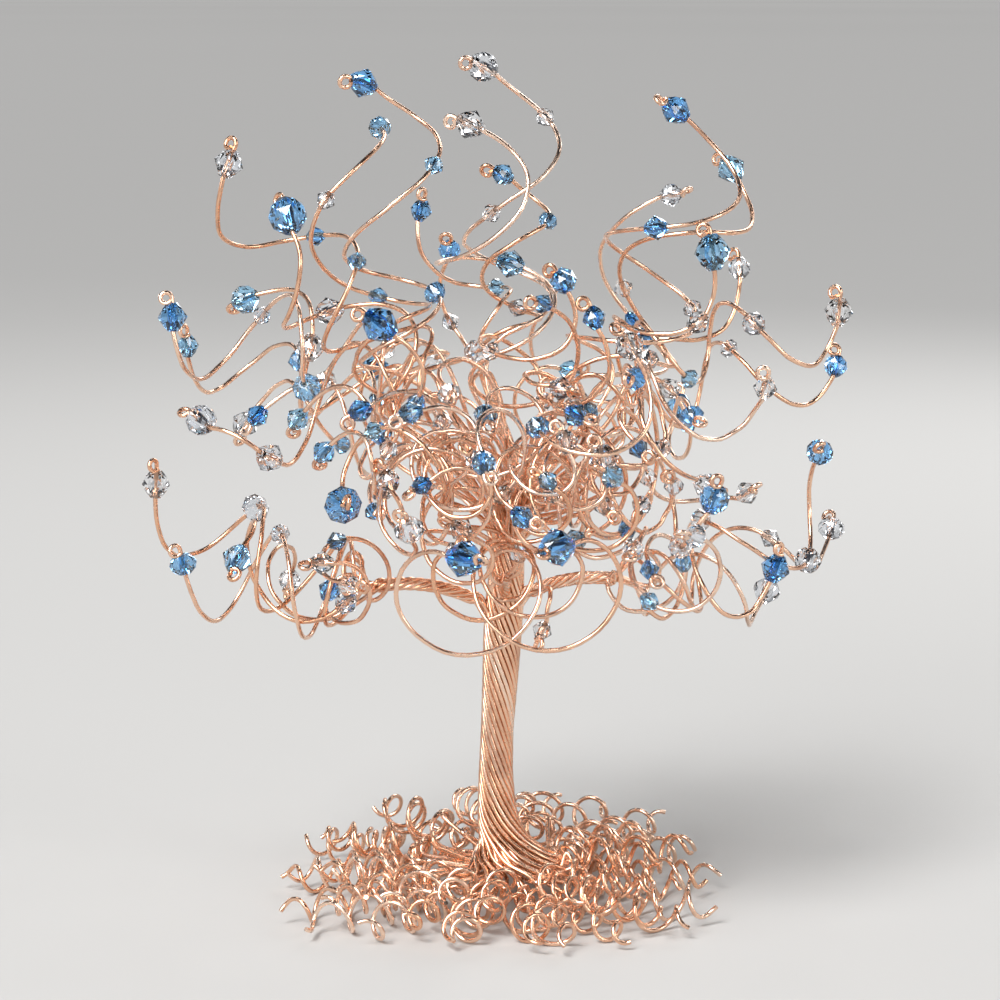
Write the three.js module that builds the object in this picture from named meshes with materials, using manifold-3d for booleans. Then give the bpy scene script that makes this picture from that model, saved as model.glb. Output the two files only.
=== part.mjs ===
// Wire tree cake topper: a trunk of twisted copper wires, a mat of root curls below it and a crown of
// corkscrew wires above it, with cut crystal beads threaded on the wires.
// Millimetres, +Z up, +X to the right of the front view, +Y to the back. The origin is on the floor.
import * as THREE from "three";
import { mergeVertices } from "three/addons/utils/BufferGeometryUtils.js";
import Module from "manifold-3d";

const wasm = await Module();
wasm.setup();

// Wire
const WIRE_REACH = 0.62; // centre of the wire to a corner of its three-sided section
const WIRE_SIDES = 3;
const STEPS_PER_TURN = 6;
const GAP = 0.3; // air kept between neighbouring pieces

// Trunk: height of each section, lean of its centre to the right and its radius
const TRUNK_LOBES = 6;
const LOBE_DEPTH = 0.35;
const TRUNK_TWIST = -0.12; // radians per millimetre of height, a left-hand lay
const TRUNK = [
  { z: 8.5, lean: 4, radius: 9 },
  { z: 11, lean: 2.8, radius: 7.4 },
  { z: 14, lean: 1, radius: 5.6 },
  { z: 19, lean: -0.6, radius: 4.3 },
  { z: 28, lean: -0.9, radius: 3.7 },
  { z: 38, lean: -0.6, radius: 3.5 },
  { z: 48, lean: 0, radius: 3.8 },
  { z: 58, lean: 0.5, radius: 4.1 },
  { z: 66, lean: 1, radius: 4.1 },
  { z: 75, lean: 1.6, radius: 3.6 },
  { z: 86, lean: 2.2, radius: 3.2 },
  { z: 96, lean: 2.6, radius: 2.4 },
];

// Limbs: twisted ropes of a few wires that leave the trunk at a height and end in open air
const LIMB_RADIUS = 1.15;
const LIMB_SIDES = 4;
const LIMB_STEPS = 3;
const LIMB_TWIST = 0.5; // radians per step
const LIMBS = {
  top: { leaves: 88, end: [1.7, 10, 112], rise: 0 },
  left_upper: { leaves: 82, end: [-14.7, -2, 108], rise: 2 },
  right_upper: { leaves: 84, end: [19, -2, 109], rise: 2 },
  left_low: { leaves: 62, end: [-25.4, -6, 70], rise: 6 },
  right_low: { leaves: 64, end: [23.6, -6, 71.5], rise: 5 },
  front_low: { leaves: 65, end: [1, -15, 73.5], rise: 2 },
  front_left: { leaves: 78, end: [-7.7, -20, 95], rise: 3 },
  front_right: { leaves: 80, end: [11.4, -20, 95], rise: 3 },
  back_left: { leaves: 78, end: [-17, 20, 97], rise: 3 },
  back_right: { leaves: 80, end: [19, 20, 99], rise: 3 },
};

// Beads: cut, width across the middle and tint
const BORE = 1.2; // radius of the hole through a bead
const LOOSE_SIDES = 5;
const FUSED_SIDES = 4;
const LOOSE_SIZE = 5.5; // beads from this size up that hold the tip of a wire are pieces of their own
const LENGTHS = { bicone: 0.94, round: 0.9, rondelle: 0.72 };
const bead = (cut, size, tint) => ({ cut, size, tint });
const BLUE_8 = bead("bicone", 7.6, "blue");
const BLUE_6 = bead("bicone", 6.2, "blue");
const BLUE_5 = bead("bicone", 5, "blue");
const BLUE_4 = bead("bicone", 4.2, "blue");
const BLUE_BALL_8 = bead("round", 8, "blue");
const BLUE_BALL_6 = bead("round", 6.2, "blue");
const BLUE_BALL_5 = bead("round", 5, "blue");
const BLUE_DISC_6 = bead("rondelle", 5.8, "blue");
const CLEAR_6 = bead("bicone", 6.2, "clear");
const CLEAR_5 = bead("bicone", 5, "clear");
const CLEAR_BALL_7 = bead("round", 6.6, "clear");
const CLEAR_BALL_5 = bead("round", 5, "clear");
const CLEAR_DISC_6 = bead("rondelle", 5.8, "clear");

// Crown wires: limb and spray they leave from, centre of the bead at the tip, coil radius, turns (negative
// for a left-hand coil), side of the coil at the tip in degrees, bead at the tip, and beads further in, each
// with its distance from the tip in turns; opens is how much of a turn its coil takes to its full radius
const OPENS = 0.55;
const wire = (limb, spray, tip, coil, turns, phase, last, along = [], opens = OPENS) => ({
  limb, spray, tip, coil, turns, phase, last, along, opens,
});
const CROWN = [
  wire("top", "a", [-3.5, 10, 176], 9.5, 2.1, 120, CLEAR_BALL_7),
  wire("top", "a", [-6, -8, 165], 11.2, 2, 65, CLEAR_6, [[1.1, BLUE_6], [1.8, CLEAR_6]]),
  wire("top", "b", [0.6, 24, 153], 6.6, 2.2, 110, BLUE_5),
  wire("top", "b", [-17, 30, 145], 6, 1.6, 250, BLUE_5),
  wire("left_upper", "a", [-27.8, 0, 173], 9.6, 2.5, 127, BLUE_6),
  wire("left_upper", "a", [-25.4, 22, 163], 10, 2, 15, BLUE_BALL_5),
  wire("left_upper", "a", [-55, -4, 157], 9.6, 2.4, 270, CLEAR_6),
  wire("left_upper", "b", [-42, -20, 147.6], 9, 1.8, -15, BLUE_BALL_8, [[0.7, CLEAR_6]]),
  wire("left_upper", "b", [-67, -4, 125.7], 9.5, 3.2, 280, BLUE_6, [[1.3, BLUE_6]]),
  wire("left_upper", "b", [-60.7, -12, 105.6], 9.5, 1.9, 330, CLEAR_BALL_7, [[0.35, CLEAR_6]]),
  wire("back_left", "a", [-54, 18, 127], 10, 2, 70, BLUE_BALL_6, [[0.4, CLEAR_6]]),
  wire("back_left", "a", [-66, 14, 117.6], 7.5, 3.2, 270, BLUE_5),
  wire("back_left", "b", [-11, 38, 135.7], 8, 1.6, 180, BLUE_BALL_5),
  wire("back_left", "b", [-55.6, 30, 98.5], 7, 1.9, 90, CLEAR_6),
  wire("back_left", "b", [-28, 52, 108], 9, 1.6, 90, BLUE_6),
  wire("left_low", "a", [-71.6, 0, 90.4], 9.5, 2.7, 270, CLEAR_6, [[0.8, CLEAR_6]]),
  wire("left_low", "a", [-65.4, -8, 75], 10.5, 2.3, 270, BLUE_DISC_6),
  wire("left_low", "b", [-52, -32, 80.8], 8.5, -1.7, 300, BLUE_6),
  wire("left_low", "b", [-46, 26, 64.7], 7, 1.7, 0, CLEAR_BALL_5),
  wire("left_low", "b", [-35.6, -26, 78.8], 7, 1.2, 90, CLEAR_5),
  wire("front_left", "a", [-30.6, -38, 92.7], 7.5, 1.9, 180, BLUE_8),
  wire("front_left", "a", [-17.3, -46, 88.7], 8, 1.7, 0, CLEAR_6),
  wire("front_low", "a", [-6.9, -52, 85], 12.8, -1.7, 75, BLUE_8, [], 1.2),
  wire("front_left", "b", [-3.2, -48, 102.6], 9, 1.7, 180, BLUE_BALL_5),
  wire("front_low", "b", [10.9, -52, 87], 12.8, 1.7, 105, BLUE_8, [], 1.2),
  wire("front_right", "a", [25, -38, 124], 10.5, 1.6, 60, CLEAR_6),
  wire("front_right", "b", [21.6, -44, 99.3], 10, 1.8, 60, BLUE_5),
  wire("front_right", "b", [42, -36, 93.3], 10.5, -1.9, 270, BLUE_BALL_6),
  wire("right_upper", "a", [35.4, -6, 167.8], 11.7, 2.5, 95, BLUE_6),
  wire("right_upper", "a", [48.3, 14, 154.8], 10.5, 1.9, 60, BLUE_6),
  wire("right_upper", "b", [41.7, -24, 141], 7, 1.6, 60, BLUE_8),
  wire("right_upper", "b", [69, -6, 127], 7.5, 3, 85, CLEAR_6),
  wire("back_right", "a", [37, 34, 148], 10, 1.7, 270, CLEAR_BALL_5),
  wire("back_right", "a", [51, 22, 133.3], 7, 1.6, 60, CLEAR_BALL_5),
  wire("back_right", "a", [14, 48, 128], 9, 1.6, 0, BLUE_6),
  wire("back_right", "b", [71, 14, 113.3], 8, 2.7, 60, BLUE_BALL_5),
  wire("back_right", "b", [40, 46, 100], 9, 1.6, 180, BLUE_6),
  wire("right_low", "a", [66.2, -2, 97.4], 9, 2.3, 150, BLUE_DISC_6, [[0.4, CLEAR_DISC_6]]),
  wire("right_low", "a", [71, 16, 78], 7, 2.1, 60, CLEAR_DISC_6),
  wire("right_low", "a", [55.6, -16, 75.8], 7.5, 2.1, 70, BLUE_6),
  wire("right_low", "b", [57, 12, 65.3], 7, 1.7, 60, CLEAR_6),
  wire("right_low", "b", [38, -38, 86.8], 6.7, 1.6, 90, CLEAR_5),
  wire("right_low", "b", [30, -24, 77], 7, 1.4, 180, BLUE_4),
];
const TIGHTEN = 0.2; // how much closer the turns lie at the limb than at the tip
const DEPART = 0.3; // how far a wire follows its limb before it bends towards its tip
const STARTS = { a: -0.95, b: 0.95 }; // sideways place of each spray on the end of its limb
const HOOK = 1.6; // length of the turned end that holds the bead at the tip
const HEAD_ON = 0.75; // share of its way along Y from which a coil's side is taken from the X axis

// Roots: curls that leave the foot of the trunk in sprays and lie on the floor
const ROOTS = 18;
const ROOTS_PER_SPRAY = 3;
const MAT = [50.5, 44]; // half width and half depth of the mat of curls
const MAT_BACK = 0.1; // share by which the mat goes further to the back than to the front
const ROOT_COIL = 3.9;
const ROOT_PITCH = 9.5;
const ROOT_STEPS_PER_TURN = 5;
const ROOT_START = { radius: 10.4, z: 9.6 };
const ROOT_LAYER = 4.5; // every other root is shorter and lies this much higher
const LOWEST = 0.2; // lowest place of a wire's centre: the floor cuts flat spots into the curls to stand on
const DIP = 0.7; // how far a curl would reach below the floor if it weren't pressed flat there

const UP = new THREE.Vector3(0, 0, 1);
const SIDE = new THREE.Vector3(1, 0, 0);
const BACK = new THREE.Vector3(0, 1, 0);
const ROUNDS = 60;
const PUSH = 0.5; // share of a shortfall that each of two runs gives way in one round
const SHARED_KNOTS = 3; // wires of one spray touch over this many knots where they leave their limb
const vec = (p) => new THREE.Vector3(...p);
const turn = (degrees) => THREE.MathUtils.degToRad(degrees);

// A bent wire given by its knots: sections stand at the knots, square to the run of the wire.
class Bent extends THREE.Curve {
  constructor(knots) {
    super();
    this.knots = knots;
  }

  getSpacedPoints() {
    return this.knots;
  }

  getTangentAt(u, target = new THREE.Vector3()) {
    const i = Math.round(u * (this.knots.length - 1));
    const before = this.knots[Math.max(i - 1, 0)];
    const after = this.knots[Math.min(i + 1, this.knots.length - 1)];
    return target.subVectors(after, before).normalize();
  }
}

function solid(geometry) {
  geometry.deleteAttribute("normal");
  geometry.deleteAttribute("uv");
  const merged = mergeVertices(geometry, 1e-4);
  return new wasm.Manifold(new wasm.Mesh({
    numProp: 3,
    vertProperties: new Float32Array(merged.attributes.position.array),
    triVerts: new Uint32Array(merged.index.array),
  }));
}

function geometryOf(body) {
  const mesh = body.getMesh();
  const geometry = new THREE.BufferGeometry();
  geometry.setAttribute("position", new THREE.BufferAttribute(new Float32Array(mesh.vertProperties), 3));
  geometry.setIndex(new THREE.BufferAttribute(new Uint32Array(mesh.triVerts), 1));
  geometry.computeVertexNormals();
  return geometry;
}

function tube(knots, reach, sides) {
  const section = new THREE.Shape();
  for (let i = 0; i < sides; i += 1) {
    const angle = (2 * Math.PI * i) / sides;
    const [x, y] = [reach * Math.cos(angle), reach * Math.sin(angle)];
    if (i === 0) section.moveTo(x, y);
    else section.lineTo(x, y);
  }
  const extrudePath = new Bent(knots);
  return new THREE.ExtrudeGeometry(section, { steps: knots.length - 1, extrudePath, bevelEnabled: false });
}

// A skin over rings of points, closed by a fan at each end.
function loft(rings) {
  const count = rings[0].length;
  const points = rings.flat();
  const ends = [rings[0], rings[rings.length - 1]];
  const middles = ends.map((ring) => {
    const sum = ring.reduce((total, p) => total.add(p), new THREE.Vector3());
    return sum.divideScalar(count);
  });
  const index = [];
  for (let r = 0; r + 1 < rings.length; r += 1) {
    for (let i = 0; i < count; i += 1) {
      const [a, b] = [r * count + i, r * count + ((i + 1) % count)];
      index.push(a, b, b + count, a, b + count, a + count);
    }
  }
  const [first, last] = [points.length, points.length + 1];
  const top = (rings.length - 1) * count;
  for (let i = 0; i < count; i += 1) {
    const next = (i + 1) % count;
    index.push(first, next, i, last, top + i, top + next);
  }
  const geometry = new THREE.BufferGeometry().setFromPoints([...points, ...middles]);
  geometry.setIndex(index);
  return geometry;
}

function trunkLean(z) {
  const i = Math.min(TRUNK.findIndex((row) => row.z >= z), TRUNK.length - 1);
  const [low, high] = [TRUNK[i - 1], TRUNK[i]];
  return THREE.MathUtils.mapLinear(z, low.z, high.z, low.lean, high.lean);
}

function trunkRings() {
  return TRUNK.map(({ z, lean, radius }) => {
    const ring = [];
    for (let i = 0; i < 2 * TRUNK_LOBES; i += 1) {
      const angle = (Math.PI * i) / TRUNK_LOBES + TRUNK_TWIST * z;
      const r = i % 2 ? radius - LOBE_DEPTH : radius + LOBE_DEPTH;
      ring.push(new THREE.Vector3(lean + r * Math.cos(angle), r * Math.sin(angle), z));
    }
    return ring;
  });
}

function limbCurve({ leaves, end, rise }) {
  const start = new THREE.Vector3(trunkLean(leaves), 0, leaves);
  const stop = vec(end);
  const middle = start.clone().lerp(stop, 0.45);
  middle.z += rise;
  return new THREE.QuadraticBezierCurve3(start, middle, stop);
}

function limbRings(curve) {
  const rings = [];
  for (let s = 0; s <= LIMB_STEPS; s += 1) {
    const [at, along] = [curve.getPoint(s / LIMB_STEPS), curve.getTangent(s / LIMB_STEPS)];
    const across = new THREE.Vector3().crossVectors(along, Math.abs(along.z) > 0.9 ? SIDE : UP).normalize();
    const over = new THREE.Vector3().crossVectors(along, across);
    const ring = [];
    for (let i = 0; i < LIMB_SIDES; i += 1) {
      const angle = (2 * Math.PI * i) / LIMB_SIDES + LIMB_TWIST * s;
      const p = at.clone().addScaledVector(across, LIMB_RADIUS * Math.cos(angle));
      ring.push(p.addScaledVector(over, LIMB_RADIUS * Math.sin(angle)));
    }
    rings.push(ring);
  }
  return rings;
}

const beadLength = ({ cut, size }) => LENGTHS[cut] * size;

// The run of a crown wire: along its limb, out in a corkscrew, straight through its last bead, and a hook.
function crownRun({ limb, spray, tip, coil, turns, phase, last, along, opens }) {
  const curve = limbCurve(LIMBS[limb]);
  const out = curve.getTangent(1);
  const start = curve.getPoint(1).addScaledVector(out, GAP + WIRE_REACH);
  const across = new THREE.Vector3().crossVectors(out, Math.abs(out.z) > 0.9 ? SIDE : UP).normalize();
  start.addScaledVector(across, STARTS[spray]);
  const target = vec(tip);
  const length = start.distanceTo(target);
  const way = target.clone().sub(start).divideScalar(length);
  const side = new THREE.Vector3().crossVectors(BACK, way);
  if (Math.abs(way.y) > HEAD_ON) side.copy(SIDE).addScaledVector(way, -way.x);
  side.normalize();
  const lift = new THREE.Vector3().crossVectors(way, side);
  const spin = 2 * Math.PI * turns;
  const ring = (angle) => side.clone().multiplyScalar(Math.cos(angle)).addScaledVector(lift, Math.sin(angle));
  const heading = ring(turn(phase) + Math.PI / 2).multiplyScalar(coil * spin * (1 - TIGHTEN));
  heading.addScaledVector(way, length);
  heading.normalize();
  const half = beadLength(last) / 2;
  const stop = target.clone().addScaledVector(heading, -half - GAP);
  const axisEnd = stop.clone().addScaledVector(ring(turn(phase)), -coil);
  const axis = new THREE.QuadraticBezierCurve3(
    start, start.clone().addScaledVector(out, DEPART * length), axisEnd,
  );
  const steps = Math.ceil(Math.abs(turns) * STEPS_PER_TURN) + 1;
  const knots = [start];
  for (let i = 1; i <= steps; i += 1) {
    const t = i / steps;
    const open = THREE.MathUtils.smoothstep(t * Math.abs(turns), 0, opens);
    const wound = t * (1 + TIGHTEN) - TIGHTEN * t * t - 1;
    knots.push(axis.getPoint(t).addScaledVector(ring(turn(phase) + spin * wound), coil * open));
  }
  const beads = along.map(([back, kind]) => ({
    kind, knot: Math.max(2, Math.round(steps * (1 - back / Math.abs(turns)))),
  }));
  const tipKnot = knots.length - 1;
  const far = target.clone().addScaledVector(heading, half + GAP);
  knots.push(far);
  const bend = ring(turn(phase)).addScaledVector(heading, -ring(turn(phase)).dot(heading)).normalize();
  knots.push(far.clone().addScaledVector(heading, HOOK / 2).addScaledVector(bend, HOOK));
  return { knots, beads, tipKnot, last, heading, limb, group: `${limb}_${spray}`, pinned: 1 };
}

function matReach(angle) {
  const [x, y] = [Math.abs(Math.cos(angle)) / MAT[0], Math.abs(Math.sin(angle)) / MAT[1]];
  return (1 + MAT_BACK * Math.sin(angle)) * (x ** 3 + y ** 3) ** (-1 / 3);
}

// The run of a root: from the foot of the trunk outwards in a corkscrew that lies on the floor.
function rootRun(i) {
  const spray = Math.floor(i / ROOTS_PER_SPRAY);
  const angle = turn((360 * (i + 0.5)) / ROOTS + 4 * Math.sin(2.7 * i));
  const sprayAngle = turn((360 * (spray + 0.5) * ROOTS_PER_SPRAY) / ROOTS);
  const raised = i % 2;
  const reach = matReach(angle) * (raised ? 0.8 : 1) * (1 + 0.05 * Math.sin(5.1 * i));
  const out = new THREE.Vector3(Math.cos(angle), Math.sin(angle), 0);
  const across = new THREE.Vector3(-out.y, out.x, 0);
  const lean = trunkLean(ROOT_START.z);
  const start = new THREE.Vector3(
    lean + ROOT_START.radius * Math.cos(sprayAngle), ROOT_START.radius * Math.sin(sprayAngle), ROOT_START.z,
  );
  const coilStart = 15 + 2 * raised;
  const turns = (reach - coilStart - ROOT_COIL) / ROOT_PITCH;
  const steps = Math.ceil(turns * ROOT_STEPS_PER_TURN);
  const knots = [start];
  const floor = LOWEST - DIP + raised * ROOT_LAYER;
  for (let s = 0; s <= steps; s += 1) {
    const t = s / steps;
    const spin = 2 * Math.PI * turns * t + 0.9 * i;
    const coil = ROOT_COIL * THREE.MathUtils.smoothstep(t * turns, -0.6, 0.7);
    const p = out.clone().multiplyScalar(THREE.MathUtils.lerp(coilStart, reach - ROOT_COIL, t));
    p.addScaledVector(across, coil * Math.cos(spin));
    p.z = floor + ROOT_COIL + coil * Math.sin(spin);
    knots.push(p);
  }
  return { knots, beads: [], group: `root_curls_${spray + 1}`, pinned: 1 };
}

// The parts of a run that need room of their own: its straight rods and its beads.
function rodsOf(run, index) {
  const rods = [];
  for (let i = 0; i + 1 < run.knots.length; i += 1) {
    rods.push({ index, from: i, to: i + 1, reach: run.reach ? run.reach[i] : WIRE_REACH });
  }
  run.beads.forEach(({ knot, kind }) => rods.push({ index, from: knot, to: knot, reach: kind.size / 2 }));
  if (run.last) rods.push({ index, from: run.tipKnot, to: run.tipKnot + 1, reach: run.last.size / 2 - 0.4 });
  return rods;
}

// Closest points of two rods, as shares of each rod.
function closest(p1, q1, p2, q2) {
  const [d1, d2, r] = [q1.clone().sub(p1), q2.clone().sub(p2), p1.clone().sub(p2)];
  const [a, e, f, b, c] = [d1.lengthSq(), d2.lengthSq(), d2.dot(r), d1.dot(d2), d1.dot(r)];
  const clamp = (value) => THREE.MathUtils.clamp(value, 0, 1);
  const spread = a * e - b * b;
  let s = spread > 1e-9 ? clamp((b * f - c * e) / spread) : 0.5;
  const u = e > 1e-9 ? clamp((b * s + f) / e) : 0.5;
  s = a > 1e-9 ? clamp((b * u - c) / a) : 0.5;
  return [s, u];
}

// Pushes the knots of all runs until no rod or bead stands in the room of another run.
function keepApart(runs) {
  const rods = runs.flatMap(rodsOf);
  const ends = (rod) => [runs[rod.index].knots[rod.from], runs[rod.index].knots[rod.to]];
  const leaves = (run, other, from) => other.still && run.limb === other.limb && from < SHARED_KNOTS;
  const joined = (m, n) => {
    const [one, other] = [runs[m.index], runs[n.index]];
    const together = one.group === other.group && Math.max(m.from, n.from) < SHARED_KNOTS;
    return together || leaves(one, other, m.from) || leaves(other, one, n.from);
  };
  for (let round = 0; round < ROUNDS; round += 1) {
    const moves = runs.map((run) => run.knots.map(() => new THREE.Vector3()));
    const middles = rods.map((rod) => ends(rod)[0].clone().lerp(ends(rod)[1], 0.5));
    const halves = rods.map((rod) => ends(rod)[0].distanceTo(ends(rod)[1]) / 2);
    for (let i = 0; i < rods.length; i += 1) {
      for (let j = i + 1; j < rods.length; j += 1) {
        const [m, n] = [rods[i], rods[j]];
        const room = m.reach + n.reach + GAP;
        const near = middles[i].distanceToSquared(middles[j]) < (halves[i] + halves[j] + room) ** 2;
        if (m.index === n.index || !near || joined(m, n)) continue;
        const [[p1, q1], [p2, q2]] = [ends(m), ends(n)];
        const [s, u] = closest(p1, q1, p2, q2);
        const apart = p1.clone().lerp(q1, s).sub(p2.clone().lerp(q2, u));
        const distance = apart.length();
        if (distance >= room) continue;
        if (distance < 1e-6) apart.crossVectors(q1.clone().sub(p1), q2.clone().sub(p2));
        apart.setLength((room - distance) * PUSH);
        moves[m.index][m.from].addScaledVector(apart, 1 - s);
        moves[m.index][m.to].addScaledVector(apart, s);
        moves[n.index][n.from].addScaledVector(apart, u - 1);
        moves[n.index][n.to].addScaledVector(apart, -u);
      }
    }
    runs.forEach((run, r) => shift(run, moves[r]));
  }
}

// Moves the knots of one run, each with a share of its neighbours' pushes so that the run stays smooth.
function shift(run, pushes) {
  if (run.still) return;
  const last = run.knots.length - 1;
  const blended = pushes.map((push, i) => push.clone().multiplyScalar(0.5)
    .addScaledVector(pushes[Math.max(i - 1, 0)], 0.25).addScaledVector(pushes[Math.min(i + 1, last)], 0.25));
  const stiff = run.tipKnot ?? last + 1;
  const tipPush = new THREE.Vector3();
  for (let i = stiff; i <= last; i += 1) tipPush.addScaledVector(blended[i], 1 / (last + 1 - stiff));
  for (let i = run.pinned; i <= last; i += 1) {
    run.knots[i].add(i < stiff ? blended[i] : tipPush);
    run.knots[i].z = Math.max(run.knots[i].z, LOWEST);
  }
}

function beadProfile({ cut, size }, bore) {
  const [r, h] = [size / 2, (LENGTHS[cut] * size) / 2];
  const waist = cut === "bicone" ? [[r, 0]] : [[r, -0.4 * h], [r, 0.4 * h]];
  const profile = [[bore, -h], ...waist, [bore, h]];
  if (bore > 0) profile.push([bore, -h]);
  return profile.map(([x, y]) => new THREE.Vector2(x, y));
}

function beadShape(kind, bore, at, heading) {
  const shape = new THREE.LatheGeometry(beadProfile(kind, bore), bore > 0 ? LOOSE_SIDES : FUSED_SIDES);
  shape.applyQuaternion(new THREE.Quaternion().setFromUnitVectors(BACK, heading));
  return shape.translate(at.x, at.y, at.z);
}

const isLoose = (run) => run.last && run.last.size >= LOOSE_SIZE;
const tipMiddle = (run) => run.knots[run.tipKnot].clone().lerp(run.knots[run.tipKnot + 1], 0.5);

function runBody(run) {
  let body = solid(tube(run.knots, WIRE_REACH, WIRE_SIDES));
  const bent = new Bent(run.knots);
  run.beads.forEach(({ knot, kind }) => {
    const heading = bent.getTangentAt(knot / (run.knots.length - 1));
    body = body.add(solid(beadShape(kind, 0, run.knots[knot], heading)));
  });
  if (run.last && !isLoose(run)) body = body.add(solid(beadShape(run.last, 0, tipMiddle(run), run.heading)));
  return body;
}

const MATERIALS = {
  copper: new THREE.MeshStandardMaterial({ color: 0xd9a07a, roughness: 0.25, metalness: 1 }),
  blue: new THREE.MeshStandardMaterial({ color: 0x7fbce8, roughness: 0.05, metalness: 0 }),
  clear: new THREE.MeshStandardMaterial({ color: 0xeef3f8, roughness: 0.05, metalness: 0 }),
};
const topper = new THREE.Group();
topper.name = "wire_tree_cake_topper";

function addPiece(name, body, material) {
  const piece = new THREE.Mesh(geometryOf(body), MATERIALS[material]);
  piece.name = name;
  topper.add(piece);
}

// Trunk with its limbs
const limbRuns = Object.entries(LIMBS).map(([limb, sizes]) => ({
  knots: limbCurve(sizes).getPoints(LIMB_STEPS), beads: [], limb, group: "trunk", still: true,
  reach: Array(LIMB_STEPS).fill(LIMB_RADIUS),
}));
const trunkRun = {
  knots: TRUNK.map(({ z, lean }) => new THREE.Vector3(lean, 0, z)), beads: [], group: "trunk", still: true,
  reach: TRUNK.map(({ radius }) => radius + LOBE_DEPTH),
};
let trunk = solid(loft(trunkRings()));
Object.values(LIMBS).forEach((limb) => {
  trunk = trunk.add(solid(loft(limbRings(limbCurve(limb)))));
});
addPiece("trunk", trunk, "copper");

// Crown wires, roots and beads
const crownRuns = CROWN.map(crownRun);
const rootRuns = Array.from({ length: ROOTS }, (_, i) => rootRun(i));
keepApart([...crownRuns, ...limbRuns, trunkRun]);
keepApart([...rootRuns, trunkRun]);
const sprays = new Map();
[...crownRuns, ...rootRuns].forEach((run) => {
  const body = runBody(run);
  sprays.set(run.group, sprays.has(run.group) ? sprays.get(run.group).add(body) : body);
});
const aboveFloor = solid(new THREE.BoxGeometry(200, 200, 200).translate(0, 0, 100));
sprays.forEach((body, group) => {
  const isRoot = group.startsWith("root");
  addPiece(isRoot ? group : `crown_wires_${group}`, isRoot ? body.intersect(aboveFloor) : body, "copper");
});
crownRuns.filter(isLoose).forEach((run, i) => {
  const body = solid(beadShape(run.last, BORE, tipMiddle(run), run.heading));
  addPiece(`${run.last.tint}_crystal_${i + 1}`, body, run.last.tint);
});

export default topper;
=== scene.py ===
"""Dress the wire tree cake topper.

Every wire runs up through the twisted trunk and a limb into a corkscrew of the crown, where cut crystal
beads are threaded on it, and most wires begin in a root curl. The tree's sizes are in millimetres and are
turned to metres where a mesh is made.
"""
from __future__ import annotations

import logging
import math
from dataclasses import dataclass, field, replace
from enum import Enum
from typing import Iterable, Optional, Sequence

import bpy
import numpy as np
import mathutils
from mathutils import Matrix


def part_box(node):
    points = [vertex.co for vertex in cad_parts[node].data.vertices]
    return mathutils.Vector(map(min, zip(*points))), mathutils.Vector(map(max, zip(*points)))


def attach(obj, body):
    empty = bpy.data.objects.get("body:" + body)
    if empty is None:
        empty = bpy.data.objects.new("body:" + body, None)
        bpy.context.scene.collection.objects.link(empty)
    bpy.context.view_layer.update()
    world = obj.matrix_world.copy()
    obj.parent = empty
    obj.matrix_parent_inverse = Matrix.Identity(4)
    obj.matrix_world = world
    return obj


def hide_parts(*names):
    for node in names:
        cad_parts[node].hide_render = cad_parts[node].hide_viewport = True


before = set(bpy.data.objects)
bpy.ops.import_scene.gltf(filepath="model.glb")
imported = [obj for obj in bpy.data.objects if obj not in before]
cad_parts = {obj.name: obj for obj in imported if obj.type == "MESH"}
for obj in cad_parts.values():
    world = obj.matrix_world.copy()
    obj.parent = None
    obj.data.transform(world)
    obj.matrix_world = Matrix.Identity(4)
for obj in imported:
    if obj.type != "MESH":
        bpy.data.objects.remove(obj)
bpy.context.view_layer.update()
LOG = logging.getLogger("wire_tree")
MM = 0.001
BODY = "root"
SEED = 20
FINE = 5
WIRE_RADIUS = 0.48
BRIDGE_SHARE = 0.42
STEEP = 0.9
TINY = 1e-9
FULL_TURN = 2 * math.pi
GOLDEN_ANGLE = math.pi * (3 - math.sqrt(5))

Vector = np.ndarray
Place = tuple[float, float, float]
Colour = tuple[int, int, int]
Range = tuple[float, float]
Strand = tuple[float, float]
Settings = dict[str, object]


class Tint(Enum):
    """Colour of a bead's glass."""

    BLUE = "blue"
    CLEAR = "clear"


class Cut(Enum):
    """Shape that a bead is cut to, with its length as a share of its width."""

    BICONE = ("bicone", 0.94)
    ROUND = ("round", 0.9)
    RONDELLE = ("rondelle", 0.72)

    @property
    def label(self) -> str:
        """Plain name of the cut."""
        return self.value[0]

    @property
    def length(self) -> float:
        """Length along the hole as a share of the width."""
        return self.value[1]


@dataclass(frozen=True)
class Bead:
    """A threaded bead: its cut, its width in millimetres and its tint."""

    cut: Cut
    size: float
    tint: Tint

    @property
    def half(self) -> float:
        """Half the bead's length along its hole."""
        return self.cut.length * self.size / 2


BLUE_8 = Bead(Cut.BICONE, 7.6, Tint.BLUE)
BLUE_6 = Bead(Cut.BICONE, 6.2, Tint.BLUE)
BLUE_5 = Bead(Cut.BICONE, 5.0, Tint.BLUE)
BLUE_4 = Bead(Cut.BICONE, 4.2, Tint.BLUE)
BLUE_BALL_8 = Bead(Cut.ROUND, 8.0, Tint.BLUE)
BLUE_BALL_6 = Bead(Cut.ROUND, 6.2, Tint.BLUE)
BLUE_BALL_5 = Bead(Cut.ROUND, 5.0, Tint.BLUE)
BLUE_DISC_6 = Bead(Cut.RONDELLE, 5.8, Tint.BLUE)
CLEAR_6 = Bead(Cut.BICONE, 6.2, Tint.CLEAR)
CLEAR_5 = Bead(Cut.BICONE, 5.0, Tint.CLEAR)
CLEAR_4 = Bead(Cut.BICONE, 4.2, Tint.CLEAR)
CLEAR_BALL_7 = Bead(Cut.ROUND, 6.6, Tint.CLEAR)
CLEAR_BALL_5 = Bead(Cut.ROUND, 5.0, Tint.CLEAR)
CLEAR_DISC_6 = Bead(Cut.RONDELLE, 5.8, Tint.CLEAR)


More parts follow.
